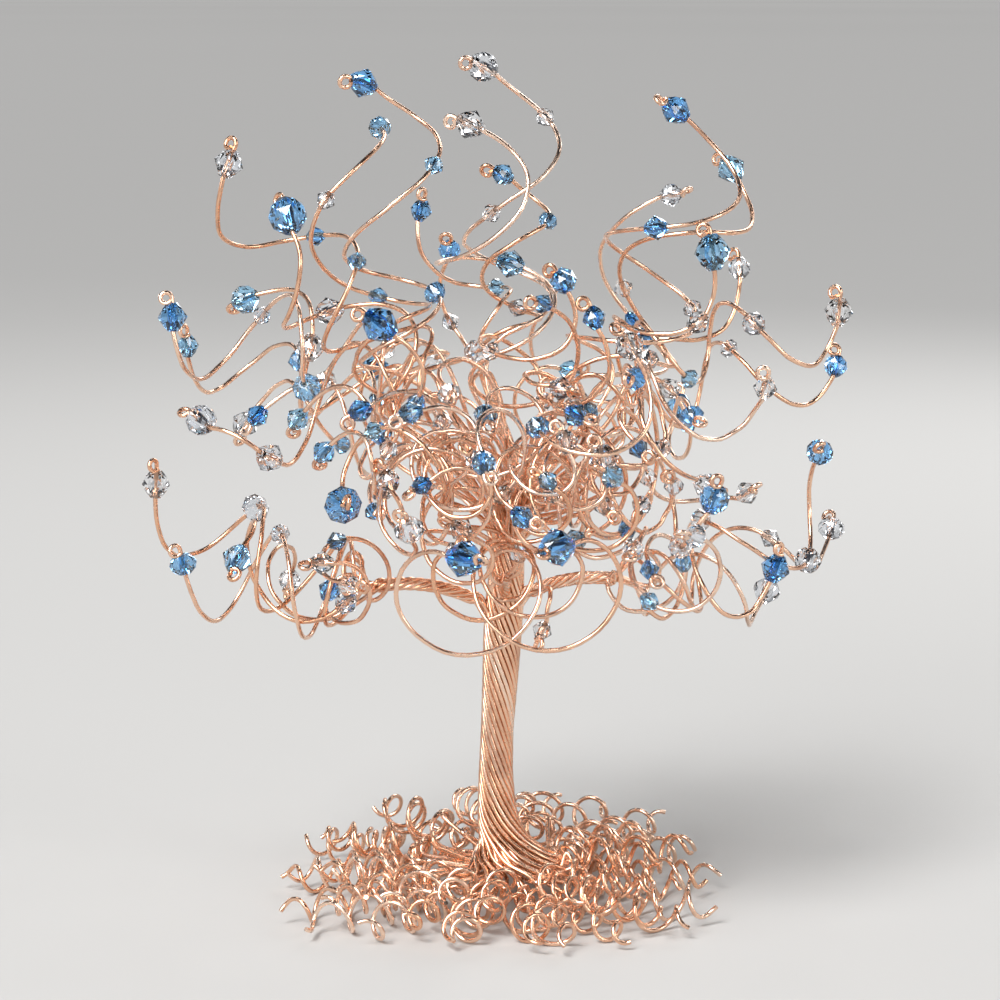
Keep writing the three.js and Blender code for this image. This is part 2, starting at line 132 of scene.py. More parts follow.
@dataclass(frozen=True)
class Limb:
    """A few wires that leave the trunk together.

    They leave at a height and bow upwards by rise on the way to the limb's end. Those of a roped limb stay
    twisted together up to there, and the others fan out of the trunk one by one.
    """

    leaves: float
    end: Place
    rise: float
    roped: bool = False


@dataclass(frozen=True)
class CrownWire:
    """One corkscrew wire of the crown.

    tip is the middle of the bead at its end, coil the radius of its turns, phase the side of the coil at the
    tip in degrees, and along the beads further in, each with its distance from the tip in turns. Its coil
    opens to the full radius over the first opens of a turn. It leaves its limb at the share begins, and winds
    over the last share winds of the way to its tip.
    """

    limb: str
    spray: str
    tip: Place
    coil: float
    turns: float
    phase: float
    last: Bead
    along: tuple[tuple[float, Bead], ...] = ()
    opens: float = 0.55
    begins: float = 1.0
    winds: float = 1.0


FRONT_LIMBS = ("front_left", "front_right")
FRONT_WINDS = 0.65


def late_wound(wire: CrownWire) -> CrownWire:
    """Return the wire, wound only near its tip if it belongs to a limb in front."""
    return replace(wire, winds=FRONT_WINDS) if wire.limb in FRONT_LIMBS else wire


LIMBS: dict[str, Limb] = {
    "top": Limb(88, (1.7, 10, 112), 0),
    "left_upper": Limb(82, (-14.7, -2, 108), 2),
    "right_upper": Limb(84, (19, -2, 109), 2),
    "left_low": Limb(62, (-25.4, -6, 70), 6, True),
    "right_low": Limb(64, (23.6, -6, 71.5), 5, True),
    "front_low": Limb(65, (1, -15, 73.5), 2, True),
    "front_left": Limb(78, (-7.7, -20, 95), 3),
    "front_right": Limb(80, (11.4, -20, 95), 3),
    "back_left": Limb(78, (-17, 20, 97), 3),
    "back_right": Limb(80, (19, 20, 99), 3),
}

# The wires that the solids have too.
CROWN: tuple[CrownWire, ...] = (
    CrownWire("top", "a", (-3.5, 10, 176), 9.5, 2.1, 120, CLEAR_BALL_7, ((0.25, CLEAR_4), (0.75, CLEAR_4))),
    CrownWire("top", "a", (-6, -8, 165), 11.2, 2, 65, CLEAR_6, ((1.1, BLUE_6), (1.8, CLEAR_6))),
    CrownWire("top", "b", (0.6, 24, 153), 6.6, 2.2, 110, BLUE_5, ((0.4, BLUE_4), (1.2, CLEAR_4))),
    CrownWire("top", "b", (-17, 30, 145), 6, 1.6, 250, BLUE_5, ((0.6, BLUE_4),)),
    CrownWire("left_upper", "a", (-27.8, 0, 173), 9.6, 2.5, 127, BLUE_6, ((0.5, BLUE_4), (1.4, BLUE_5))),
    CrownWire("left_upper", "a", (-25.4, 22, 163), 10, 2, 15, BLUE_BALL_5, ((0.42, CLEAR_4), (0.9, BLUE_4))),
    CrownWire("left_upper", "a", (-55, -4, 157), 9.6, 2.4, 270, CLEAR_6, ((0.65, BLUE_4), (0.95, BLUE_4))),
    CrownWire("left_upper", "b", (-42, -20, 147.6), 9, 1.8, -15, BLUE_BALL_8, ((0.7, CLEAR_6),)),
    CrownWire("left_upper", "b", (-67, -4, 125.7), 9.5, 3.2, 280, BLUE_6, ((0.7, CLEAR_4), (1.3, BLUE_6))),
    CrownWire("left_upper", "b", (-60.7, -12, 105.6), 9.5, 1.9, 330, CLEAR_BALL_7, ((0.35, CLEAR_6),)),
    CrownWire("back_left", "a", (-54, 18, 127), 10, 2, 70, BLUE_BALL_6, ((0.4, CLEAR_6),)),
    CrownWire("back_left", "a", (-66, 14, 117.6), 7.5, 3.2, 270, BLUE_5, ((1, BLUE_5),)),
    CrownWire("back_left", "b", (-11, 38, 135.7), 8, 1.6, 180, BLUE_BALL_5, ((0.3, CLEAR_4),)),
    CrownWire("back_left", "b", (-55.6, 30, 98.5), 7, 1.9, 90, CLEAR_6, ((0.8, BLUE_4),)),
    CrownWire("back_left", "b", (-28, 52, 108), 9, 1.6, 90, BLUE_6, ((0.6, CLEAR_4),)),
    CrownWire("left_low", "a", (-71.6, 0, 90.4), 9.5, 2.7, 270, CLEAR_6, ((0.8, CLEAR_6),)),
    CrownWire("left_low", "a", (-65.4, -8, 75), 10.5, 2.3, 270, BLUE_DISC_6, ((0.85, CLEAR_4),)),
    CrownWire("left_low", "b", (-52, -32, 80.8), 8.5, -1.7, 300, BLUE_6, ((1, CLEAR_5),)),
    CrownWire("left_low", "b", (-46, 26, 64.7), 7, 1.7, 0, CLEAR_BALL_5),
    CrownWire("left_low", "b", (-35.6, -26, 78.8), 7, 1.2, 90, CLEAR_5, ((0.8, BLUE_5),)),
    CrownWire("front_left", "a", (-30.6, -38, 92.7), 7.5, 1.9, 180, BLUE_8, ((0.5, BLUE_4),)),
    CrownWire("front_left", "a", (-17.3, -46, 88.7), 8, 1.7, 0, CLEAR_6, ((0.6, BLUE_4),)),
    CrownWire("front_low", "a", (-6.9, -52, 85), 12.8, -1.7, 75, BLUE_8, opens=1.2),
    CrownWire("front_left", "b", (-3.2, -48, 102.6), 9, 1.7, 180, BLUE_BALL_5, ((0.7, CLEAR_4),)),
    CrownWire("front_low", "b", (10.9, -52, 87), 12.8, 1.7, 105, BLUE_8, ((1.2, CLEAR_4),), 1.2),
    CrownWire("front_right", "a", (25, -38, 124), 10.5, 1.6, 60, CLEAR_6, ((0.7, BLUE_5),)),
    CrownWire("front_right", "b", (21.6, -44, 99.3), 10, 1.8, 60, BLUE_5, ((0.3, CLEAR_5),)),
    CrownWire("front_right", "b", (42, -36, 93.3), 10.5, -1.9, 270, BLUE_BALL_6, ((0.25, CLEAR_5),)),
    CrownWire("right_upper", "a", (35.4, -6, 167.8), 11.7, 2.5, 95, BLUE_6, ((0.65, BLUE_5), (1.3, CLEAR_4))),
    CrownWire("right_upper", "a", (48.3, 14, 154.8), 10.5, 1.9, 60, BLUE_6, ((0.9, CLEAR_4),)),
    CrownWire("right_upper", "b", (41.7, -24, 141), 7, 1.6, 60, BLUE_8, ((0.25, CLEAR_5),)),
    CrownWire("right_upper", "b", (69, -6, 127), 7.5, 3, 85, CLEAR_6, ((0.65, CLEAR_BALL_5), (1.5, BLUE_4))),
    CrownWire("back_right", "a", (37, 34, 148), 10, 1.7, 270, CLEAR_BALL_5, ((0.6, BLUE_4),)),
    CrownWire("back_right", "a", (51, 22, 133.3), 7, 1.6, 60, CLEAR_BALL_5, ((0.6, BLUE_5),)),
    CrownWire("back_right", "a", (14, 48, 128), 9, 1.6, 0, BLUE_6, ((0.8, CLEAR_4),)),
    CrownWire("back_right", "b", (71, 14, 113.3), 8, 2.7, 60, BLUE_BALL_5, ((0.7, CLEAR_4), (1.3, BLUE_4))),
    CrownWire("back_right", "b", (40, 46, 100), 9, 1.6, 180, BLUE_6, ((0.7, CLEAR_5),)),
    CrownWire("right_low", "a", (66.2, -2, 97.4), 9, 2.3, 150, BLUE_DISC_6,
              ((0.4, CLEAR_DISC_6), (1, CLEAR_5))),
    CrownWire("right_low", "a", (71, 16, 78), 7, 2.1, 60, CLEAR_DISC_6, ((0.6, CLEAR_4),)),
    CrownWire("right_low", "a", (55.6, -16, 75.8), 7.5, 2.1, 70, BLUE_6),
    CrownWire("right_low", "b", (57, 12, 65.3), 7, 1.7, 60, CLEAR_6),
    CrownWire("right_low", "b", (38, -38, 86.8), 6.7, 1.6, 90, CLEAR_5, ((0.7, BLUE_4),)),
    CrownWire("right_low", "b", (30, -24, 77), 7, 1.4, 180, BLUE_4, ((0.5, BLUE_4),)),
)

# Shorter wires that fill the middle of the crown, too many for the solids, so only the looks have them.
FILLING: tuple[CrownWire, ...] = tuple(late_wound(wire) for wire in (
    CrownWire("top", "a", (12.6, -10, 133.5), 8, 1.6, 60, BLUE_5, ((0.6, CLEAR_4),), begins=0.7),
    CrownWire("top", "b", (8.4, -24, 130.6), 9, 1.3, 100, BLUE_4, ((0.5, CLEAR_4),), begins=0.6),
    CrownWire("left_upper", "a", (-23.5, -30, 127.1), 8, 1.3, 30, BLUE_8, ((0.35, BLUE_4),), begins=0.7),
    CrownWire("left_upper", "b", (-10.1, -26, 112.9), 8, 1.4, 200, CLEAR_5, begins=0.5),
    CrownWire("left_upper", "b", (-27.7, -26, 109.5), 8, 1.6, 120, BLUE_5, ((0.4, CLEAR_4),), begins=0.6),
    CrownWire("left_upper", "b", (-41.2, -10, 105.5), 9, 1.8, 60, BLUE_5, ((0.5, BLUE_5),), begins=0.7),
    CrownWire("back_left", "a", (-51.2, 10, 103.2), 9, 1.8, 90, BLUE_5, ((0.3, CLEAR_5),), begins=0.6),
    CrownWire("front_left", "a", (-35.2, -22, 100.6), 7, 1.7, 60, BLUE_5, ((0.3, CLEAR_4),), begins=0.8),
    CrownWire("front_left", "a", (-17.5, -32, 110), 8, 1.6, 80, BLUE_5, ((0.3, BLUE_4),), begins=0.35),
    CrownWire("front_left", "b", (-22, -34, 97), 7, 1.6, 300, CLEAR_5, ((0.6, CLEAR_5),), begins=0.9),
    CrownWire("left_low", "b", (-28.8, -22, 74.3), 7, 1.2, 250, CLEAR_5, ((0.4, BLUE_4),)),
    CrownWire("front_right", "a", (15.2, -34, 108.9), 8, 1.5, 220, BLUE_5, ((0.5, BLUE_4),), begins=0.3),
    CrownWire("front_right", "a", (19.1, -36, 102.3), 7, 1.7, 20, CLEAR_6, ((0.5, CLEAR_4),), begins=0.85),
    CrownWire("front_right", "b", (26.7, -28, 116.3), 9, 1.6, 140, BLUE_5, ((0.4, CLEAR_4),), begins=0.6),
    CrownWire("front_right", "b", (27.8, -34, 92), 6.5, 1.8, 200, CLEAR_4, ((0.5, BLUE_4),), begins=0.95),
    CrownWire("front_right", "b", (40.4, -30, 95.4), 12, 1.6, 320, CLEAR_5, ((1.1, BLUE_5),), begins=0.45),
    CrownWire("right_upper", "a", (18.6, -24, 127.8), 8, 1.3, 40, BLUE_5, ((0.4, CLEAR_4),), begins=0.6),
    CrownWire("right_upper", "b", (38.9, -14, 106.7), 9, 1.7, 200, BLUE_5, ((0.8, CLEAR_4),), begins=0.6),
    CrownWire("right_upper", "b", (53.2, -18, 113), 8, 2, 100, CLEAR_5, ((0.8, CLEAR_5),), begins=0.8),
    CrownWire("right_upper", "a", (50.7, -8, 89.9), 8, 1.7, 120, CLEAR_5, ((0.5, CLEAR_4),), begins=0.8),
    CrownWire("front_right", "b", (25.2, -38, 85.6), 7, 1.4, 90, CLEAR_5, ((0.4, BLUE_5),), begins=0.7),
    CrownWire("front_low", "a", (-9, -36, 83), 7.8, -1.5, 90, CLEAR_4),
    CrownWire("front_low", "b", (12.5, -36, 84), 7.8, 1.5, 90, CLEAR_4),
    CrownWire("front_low", "b", (8.5, -24, 64.5), 5, 1.2, 270, CLEAR_4),
    CrownWire("back_left", "a", (-15, 34, 112), 9, 1.6, 40, CLEAR_5, ((0.6, BLUE_4),), begins=0.7),
    CrownWire("back_right", "a", (15, 38, 109), 9, 1.6, 300, BLUE_5, ((0.6, CLEAR_4),), begins=0.7),
))


def unit(vector: Vector) -> Vector:
    """Return the vector at length one."""
    return vector / np.linalg.norm(vector)


def smoothstep(value: float, low: float, high: float) -> float:
    """Return a soft step from 0 at low to 1 at high."""
    t = min(max((value - low) / (high - low), 0.0), 1.0)
    return t * t * (3 - 2 * t)


def square_to(along: Vector) -> Vector:
    """Return a unit vector square to a direction, a level one unless the direction is steep."""
    return unit(np.cross(along, [1, 0, 0] if abs(along[2]) > STEEP else [0, 0, 1]))


def soften(values: Vector, past_ends: str = "edge") -> Vector:
    """Blend each row with its two neighbours.

    Args:
        values: one row for each point of a wire.
        past_ends: what stands for the neighbours past the ends, as np.pad names it.

    Returns:
        The blended rows.
    """
    around = np.pad(values, ((1, 1), (0, 0)), mode=past_ends)
    return 0.5 * values + 0.25 * around[:-2] + 0.25 * around[2:]


def flow(knots: Vector, steps: int) -> Vector:
    """Draw a smooth curve through knots.

    Args:
        knots: the points that it passes.
        steps: how many points it gets from one knot to the next.

    Returns:
        Its points, the knots among them.
    """
    around = np.concatenate([[2 * knots[0] - knots[1]], knots, [2 * knots[-1] - knots[-2]]])
    fours = (around[:-3], around[1:-2], around[2:-1], around[3:])
    p0, p1, p2, p3 = (p[:, None, :] for p in fours)
    t = np.linspace(0, 1, steps, endpoint=False)[None, :, None]
    curve = p1 + 0.5 * t * (p2 - p0 + t * (2 * p0 - 5 * p1 + 4 * p2 - p3 + t * (3 * (p1 - p2) + p3 - p0)))
    return np.concatenate([curve.reshape(-1, 3), knots[-1:]])


def bridge(start: Vector, out: Vector, end: Vector, into: Vector, step: float) -> Vector:
    """Bend smoothly from one point to another.

    Args:
        start: where the bend begins.
        out: its direction there.
        end: where it ends.
        into: its direction there.
        step: the distance between its points.

    Returns:
        Its points without the last one.
    """
    length = float(np.linalg.norm(end - start))
    first = start + out * length * BRIDGE_SHARE
    second = end - into * length * BRIDGE_SHARE
    t = np.linspace(0, 1, max(3, round(length / step)), endpoint=False)[:, None]
    s = 1 - t
    return s ** 3 * start + 3 * s * s * t * first + 3 * s * t * t * second + t ** 3 * end


def deal(wanted: Sequence[float]) -> list[float]:
    """Share evenly spaced angles out so that each taker gets one near the angle it wants.

    Args:
        wanted: an angle in radians for each taker.

    Returns:
        The angle that each taker gets.
    """
    count = len(wanted)
    order = sorted(range(count), key=lambda k: wanted[k] % FULL_TURN)
    turns = [wanted[k] - FULL_TURN * place / count for place, k in enumerate(order)]
    offset = math.atan2(sum(map(math.sin, turns)), sum(map(math.cos, turns)))
    given = [0.0] * count
    for place, k in enumerate(order):
        given[k] = offset + FULL_TURN * place / count
    return given


@dataclass(frozen=True)
class Bow:
    """A quadratic curve from its start towards its middle and on to its end."""

    start: Vector
    middle: Vector
    end: Vector

    def at(self, t: float) -> Vector:
        """Return the point at share t."""
        return (1 - t) ** 2 * self.start + 2 * t * (1 - t) * self.middle + t * t * self.end

    def along(self, t: float) -> Vector:
        """Return the direction at share t."""
        return unit((1 - t) * (self.middle - self.start) + t * (self.end - self.middle))


@dataclass
class Run:
    """The knots that one wire passes, in millimetres.

    line is the smooth curve through the knots before they give way, and lead the number of knots before it
    begins. beads are the larger beads by knot and small the little ones by knot. tip_knot is the knot where
    the last bead starts, and heading the way that its hole points. reach is the thickness of each stretch
    where it isn't a wire's, and born is where the knots were. A still run gives no way to the others, nor do
    the knots from held on.
    """

    knots: Vector
    group: str
    line: Optional[Vector] = None
    limb: Optional[str] = None
    beads: list[tuple[int, Bead]] = field(default_factory=list)
    small: list[tuple[float, Bead]] = field(default_factory=list)
    tip_knot: Optional[int] = None
    last: Optional[Bead] = None
    heading: Optional[Vector] = None
    reach: Optional[list[float]] = None
    still: bool = False
    born: Optional[Vector] = None
    lead: int = 0
    held: Optional[int] = None

    def after(self, knot: int, before: Vector) -> Run:
        """Return a run that comes over other knots to one of this run's knots and is held from there on.

        Args:
            knot: this run's knot.
            before: the knots that come before it.

        Returns:
            The run.
        """
        held = len(before)
        moved = held - knot
        knots = np.concatenate([before, self.knots[knot:]])
        beads = [(k + moved, bead) for k, bead in self.beads if k >= knot]
        return Run(knots, "fan", beads=beads, tip_knot=self.tip_knot + moved, last=self.last, held=held)

    def fine(self, first: int, last: int) -> Vector:
        """Return the smooth curve from one knot to another, moved as the knots were.

        Args:
            first: the knot where it begins.
            last: the knot where it ends.

        Returns:
            Its points.
        """
        count = (len(self.line) - 1) // FINE + 1
        moved = (self.knots - self.born)[self.lead:self.lead + count]
        curve = self.line + flow(soften(soften(moved)), FINE)
        return curve[(first - self.lead) * FINE:(last - self.lead) * FINE + 1]


@dataclass(frozen=True)
class Spacing:
    """Makes room between runs: each round pushes every two rods that stand too close away from each other."""

    gap: float = 0.3
    wire_reach: float = 0.62
    bead_slack: float = 0.4
    rounds: int = 60
    push: float = 0.5
    shared_knots: int = 3
    lowest: float = 0.2
    least: float = 1e-6

    def rods_of(self, run: Run) -> list[tuple[int, int, float]]:
        """List a run's straight rods and beads.

        Args:
            run: the run.

        Returns:
            First knot, last knot and reach of each.
        """
        count = len(run.knots) - 1
        reach = run.reach or [self.wire_reach] * count
        rods = [(i, i + 1, reach[i]) for i in range(count)]
        rods += [(knot, knot, bead.size / 2) for knot, bead in run.beads]
        if run.last:
            rods.append((run.tip_knot, run.tip_knot + 1, run.last.size / 2 - self.bead_slack))
        return rods

    def keep(self, run: Run) -> None:
        """Note where a run's knots are before they give way, lifted to the floor."""
        run.born = run.knots.copy()
        run.born[1:, 2] = np.maximum(run.born[1:, 2], self.lowest)

    def part_in_turn(self, first: Sequence[Run], then: Sequence[Run], still: Sequence[Run]) -> None:
        """Make room among some runs, and then for others between them.

        Args:
            first: the runs that take their places alone, and are still from then on.
            then: the runs that give way to them.
            still: the runs that never give way.
        """
        self.part([*first, *still])
        for run in first:
            run.still = True
        self.part([*first, *then, *still])

    def part(self, runs: Sequence[Run]) -> None:
        """Move the knots of all runs that aren't still until they have room.

        Args:
            runs: the runs, which are changed in place.
        """
        for run in runs:
            if run.born is None:
                self.keep(run)
        rods = [(r, *rod) for r, run in enumerate(runs) for rod in self.rods_of(run)]
        index, first, last = (np.array([rod[k] for rod in rods]) for k in range(3))
        reach = np.array([rod[3] for rod in rods])
        base = np.cumsum([0] + [len(run.knots) for run in runs])
        ends = (base[index] + first, base[index] + last)
        wanted = self._pairs(runs, index, first)
        for _ in range(self.rounds):
            moves = self._moves(np.concatenate([run.knots for run in runs]), ends, reach, wanted)
            for r, run in enumerate(runs):
                self._shift(run, moves[base[r]:base[r + 1]])

    def _moves(self, knots: Vector, ends: tuple[Vector, Vector], reach: Vector, wanted: Vector) -> Vector:
        """Push every two rods apart that are closer than their reach and the gap.

        Args:
            knots: the knots of all runs.
            ends: the first and the last knot of each rod.
            reach: the reach of each rod.
            wanted: which pairs of rods must keep apart.

        Returns:
            How far each knot is pushed.
        """
        start, stop = ends
        p, q = knots[start], knots[stop]
        middle = (p + q) / 2
        span = np.linalg.norm(q - p, axis=1) / 2 + reach
        sums = (middle ** 2).sum(axis=1)
        distance = sums[:, None] + sums[None, :] - 2 * middle @ middle.T
        i, j = np.nonzero(wanted & (distance < (span[:, None] + span[None, :] + self.gap) ** 2))
        s, u = self._closest(p[i], q[i], p[j], q[j])
        apart = (p[i] + s * (q[i] - p[i])) - (p[j] + u * (q[j] - p[j]))
        length = np.linalg.norm(apart, axis=1, keepdims=True)
        short = (reach[i] + reach[j] + self.gap)[:, None] - length
        shove = np.where(short > 0, apart / np.maximum(length, self.least) * short * self.push, 0)
        moves = np.zeros_like(knots)
        for knot, share in ((start[i], 1 - s), (stop[i], s), (start[j], u - 1), (stop[j], -u)):
            np.add.at(moves, knot, shove * share)
        return moves

    def _pairs(self, runs: Sequence[Run], index: Vector, first: Vector) -> Vector:
        """Mark the rods that keep apart: not those of one wire, nor of wires where they leave their limb.

        Args:
            runs: all runs.
            index: the run of each rod.
            first: the first knot of each rod in its run.

        Returns:
            A table of yes or no for every two rods.
        """
        near_start = first < self.shared_knots
        groups = np.array([run.group for run in runs])[index]
        limbs = np.array([run.limb or "" for run in runs])[index]
        still = np.array([run.still for run in runs])[index]
        one_group = (groups[:, None] == groups[None, :]) & near_start[:, None] & near_start[None, :]
        one_limb = limbs[:, None] == limbs[None, :]
        on_limb = one_limb & (still[:, None] & near_start[None, :] | still[None, :] & near_start[:, None])
        other = index[:, None] < index[None, :]
        return other & ~one_group & ~on_limb & ~(still[:, None] & still[None, :])

    @staticmethod
    def _closest(p1: Vector, q1: Vector, p2: Vector, q2: Vector) -> tuple[Vector, Vector]:
        """Find the closest points of pairs of rods.

        Args:
            p1: starts of the first rods.
            q1: their ends.
            p2: starts of the second rods.
            q2: their ends.

        Returns:
            The points as shares of each rod.
        """
        d1, d2, r = q1 - p1, q2 - p2, p1 - p2
        a, e, f, b, c = ((m * n).sum(axis=1) for m, n in ((d1, d1), (d2, d2), (d2, r), (d1, d2), (d1, r)))
        spread = a * e - b * b
        s = np.where(spread > TINY, np.clip((b * f - c * e) / np.maximum(spread, TINY), 0, 1), 0.5)
        u = np.where(e > TINY, np.clip((b * s + f) / np.maximum(e, TINY), 0, 1), 0.5)
        s = np.where(a > TINY, np.clip((b * u - c) / np.maximum(a, TINY), 0, 1), 0.5)
        return s[:, None], u[:, None]

    def _shift(self, run: Run, pushes: Vector) -> None:
        """Move one run's knots with a share of their neighbours' pushes, its tip bead and hook as one piece.

        Args:
            run: the run.
            pushes: how far each of its knots is pushed.
        """
        if run.still:
            return
        blended = soften(pushes)
        if run.tip_knot is not None:
            blended[run.tip_knot:] = blended[run.tip_knot:].mean(axis=0)
        blended[0] = 0
        blended[run.held or len(blended):] = 0
        run.knots += blended
        run.knots[1:, 2] = np.maximum(run.knots[1:, 2], self.lowest)


SPACING = Spacing()


@dataclass(frozen=True)
class WirePath:
    """A finished wire: its points, which of them are at its foot and at its limb's end, and its tone."""

    points: Vector
    foot: int
    limb_end: int
    limb: str
    tone: float


@dataclass(frozen=True)
class TrunkForm:
    """The trunk's rope.

    sections are its height, lean and radius, twist is its lay in radians for each millimetre, and layers are
    the numbers of wires in it with their share of the radius. Wires without a root curl begin at the height
    folded. swirl_steps are the height, radius and turn of the places that a wire passes as it sweeps out at
    the foot.
    """

    sections: tuple[Place, ...] = (
        (8.5, 4, 9), (11, 2.8, 7.4), (14, 1, 5.6), (19, -0.6, 4.3), (28, -0.9, 3.7), (38, -0.6, 3.5),
        (48, 0, 3.8), (58, 0.5, 4.1), (66, 1, 4.1), (75, 1.6, 3.6), (86, 2.2, 3.2), (96, 2.6, 2.4),
    )
    lobe: float = 0.35
    twist: float = -0.12
    layers: tuple[tuple[int, float], ...] = ((20, 1.0), (16, 0.7), (12, 0.42), (11, 0.15), (40, 0.25))
    skin: float = 0.5
    foot: float = 14.0
    folded: float = 40.0
    step: float = 3.75
    probe: float = 0.5
    leave: float = 3.0
    fan_drop: float = 6.0
    fan_step: float = 4.0
    swirl_turn: float = 1.1
    swirl_steps: tuple[Place, ...] = ((8.2, 10.6, 0.75), (10.8, 7.6, 0.36))
    swirl_width: Range = (0.55, 0.45)
    swirl_lean: float = 1.0
    swirl_sink: float = 1.6
    limb_radius: float = 1.15
    limb_steps: int = 3
    limb_twist: float = -0.5
    limb_bend: float = 0.45

    def lean(self, z: float) -> float:
        """Return how far the trunk's middle stands to the right at a height."""
        return float(np.interp(z, [s[0] for s in self.sections], [s[1] for s in self.sections]))

    def radius(self, z: float) -> float:
        """Return the trunk's radius at a height."""
        return float(np.interp(z, [s[0] for s in self.sections], [s[2] for s in self.sections]))

    def bow(self, limb: Limb) -> Bow:
        """Return the middle line of a limb.

        Args:
            limb: the limb.

        Returns:
            A curve from the trunk to the limb's end.
        """
        start = np.array([self.lean(limb.leaves), 0, limb.leaves])
        end = np.array(limb.end, float)
        return Bow(start, start + self.limb_bend * (end - start) + np.array([0, 0, limb.rise]), end)

    def strand(self, share: float, angle: float, z: float) -> Vector:
        """Find a wire's place in the trunk.

        Args:
            share: its distance from the middle as a share of the radius.
            angle: its angle at height 0.
            z: the height.

        Returns:
            The point.
        """
        r = share * (self.radius(z) - self.skin)
        a = angle + self.twist * z
        return np.array([self.lean(z) + r * math.cos(a), r * math.sin(a), z])

    def heading(self, share: float, angle: float, z: float) -> Vector:
        """Return a wire's direction in the trunk."""
        return unit(self.strand(share, angle, z + self.probe) - self.strand(share, angle, z - self.probe))

    def swirl(self, share: float, angle: float) -> list[Vector]:
        """Sweep a wire round and outwards at the foot.

        Args:
            share: its distance from the middle as a share of the radius.
            angle: its angle at height 0.

        Returns:
            Its places from the outside inwards.
        """
        points = []
        least, more = self.swirl_width
        for z, radius, turned in self.swirl_steps:
            r = radius * (least + more * share)
            a = angle + self.twist * self.foot + self.swirl_turn * turned
            x = self.lean(z + self.swirl_lean) + r * math.cos(a)
            points.append(np.array([x, r * math.sin(a), z - self.swirl_sink * (1 - share)]))
        return points

    def still_runs(self) -> list[Run]:
        """Make runs that give no way from the limbs and the trunk.

        Returns:
            The limbs' runs and then the trunk's.
        """
        runs = []
        for name, limb in LIMBS.items():
            bow = self.bow(limb)
            knots = np.array([bow.at(s / self.limb_steps) for s in range(self.limb_steps + 1)])
            reach = [self.limb_radius] * self.limb_steps
            runs.append(Run(knots, "trunk", limb=name, reach=reach, still=True))
        knots = np.array([[lean, 0, z] for z, lean, _ in self.sections], float)
        runs.append(Run(knots, "trunk", reach=[r + self.lobe for _, _, r in self.sections], still=True))
        return runs


@dataclass(frozen=True)
class CrownForm:
    """How a crown wire winds.

    It leaves its limb beside the limb's middle line, its turns tighten, and it ends in a hook behind its
    bead. Beads from fused_size on are in the solids too. roped_knot and fanned_knot are the knots where it
    comes in from its limb.
    """

    tighten: float = 0.2
    depart: float = 0.3
    beside: float = 0.95
    depthwise: float = 0.75
    hook: float = 1.6
    steps_per_turn: float = 6
    fused_size: float = 5.5
    first_bead_knot: float = 2.0
    roped_knot: int = 2
    fanned_knot: int = 3

    def run(self, wire: CrownWire, bow: Bow) -> Run:
        """Wind one wire from its limb to its tip.

        Args:
            wire: the wire's sizes.
            bow: the middle line of its limb.

        Returns:
            Its knots and beads.
        """
        out = bow.along(wire.begins)
        start = bow.at(wire.begins) + out * (SPACING.gap + SPACING.wire_reach)
        start += square_to(out) * (-self.beside if wire.spray == "a" else self.beside)
        tip = np.array(wire.tip, float)
        start = tip + (start - tip) * wire.winds
        length = float(np.linalg.norm(tip - start))
        way = (tip - start) / length
        runs_deep = abs(way[1]) > self.depthwise
        side = unit(np.array([1.0, 0, 0]) - way * way[0] if runs_deep else np.cross([0, 1, 0], way))
        lift = np.cross(way, side)
        phase = math.radians(wire.phase)
        turns = abs(wire.turns)
        spin = FULL_TURN * wire.turns

        def ring(angle: float) -> Vector:
            """Return the side of the coil at an angle."""
            return side * math.cos(angle) + lift * math.sin(angle)

        heading = unit(ring(phase + math.pi / 2) * wire.coil * spin * (1 - self.tighten) + way * length)
        past_bead = heading * (wire.last.half + SPACING.gap)
        axis = Bow(start, start + out * self.depart * length, tip - past_bead - ring(phase) * wire.coil)
        steps = math.ceil(turns * self.steps_per_turn) + 1

        def place(t: float) -> Vector:
            """Find a point of the corkscrew.

            Args:
                t: its share of the way.

            Returns:
                The point.
            """
            wound = t * (1 + self.tighten) - self.tighten * t * t - 1
            opened = wire.coil * smoothstep(t * turns, 0, wire.opens)
            return axis.at(t) + ring(phase + spin * wound) * opened

        line = np.array([place(t) for t in np.linspace(0, 1, steps * FINE + 1)])
        far = tip + past_bead
        bend = unit(ring(phase) - heading * float(ring(phase) @ heading))
        knots = np.array([*line[::FINE], far, far + heading * self.hook / 2 + bend * self.hook])
        beads, small = [], []
        for back, bead in wire.along:
            knot = max(self.first_bead_knot, steps * (1 - back / turns))
            if bead.size >= self.fused_size:
                beads.append((math.floor(knot + 0.5), bead))
            else:
                small.append((knot, bead))
        group = f"{wire.limb}_{wire.spray}"
        return Run(knots, group, line, wire.limb, beads, small, steps, wire.last, heading)


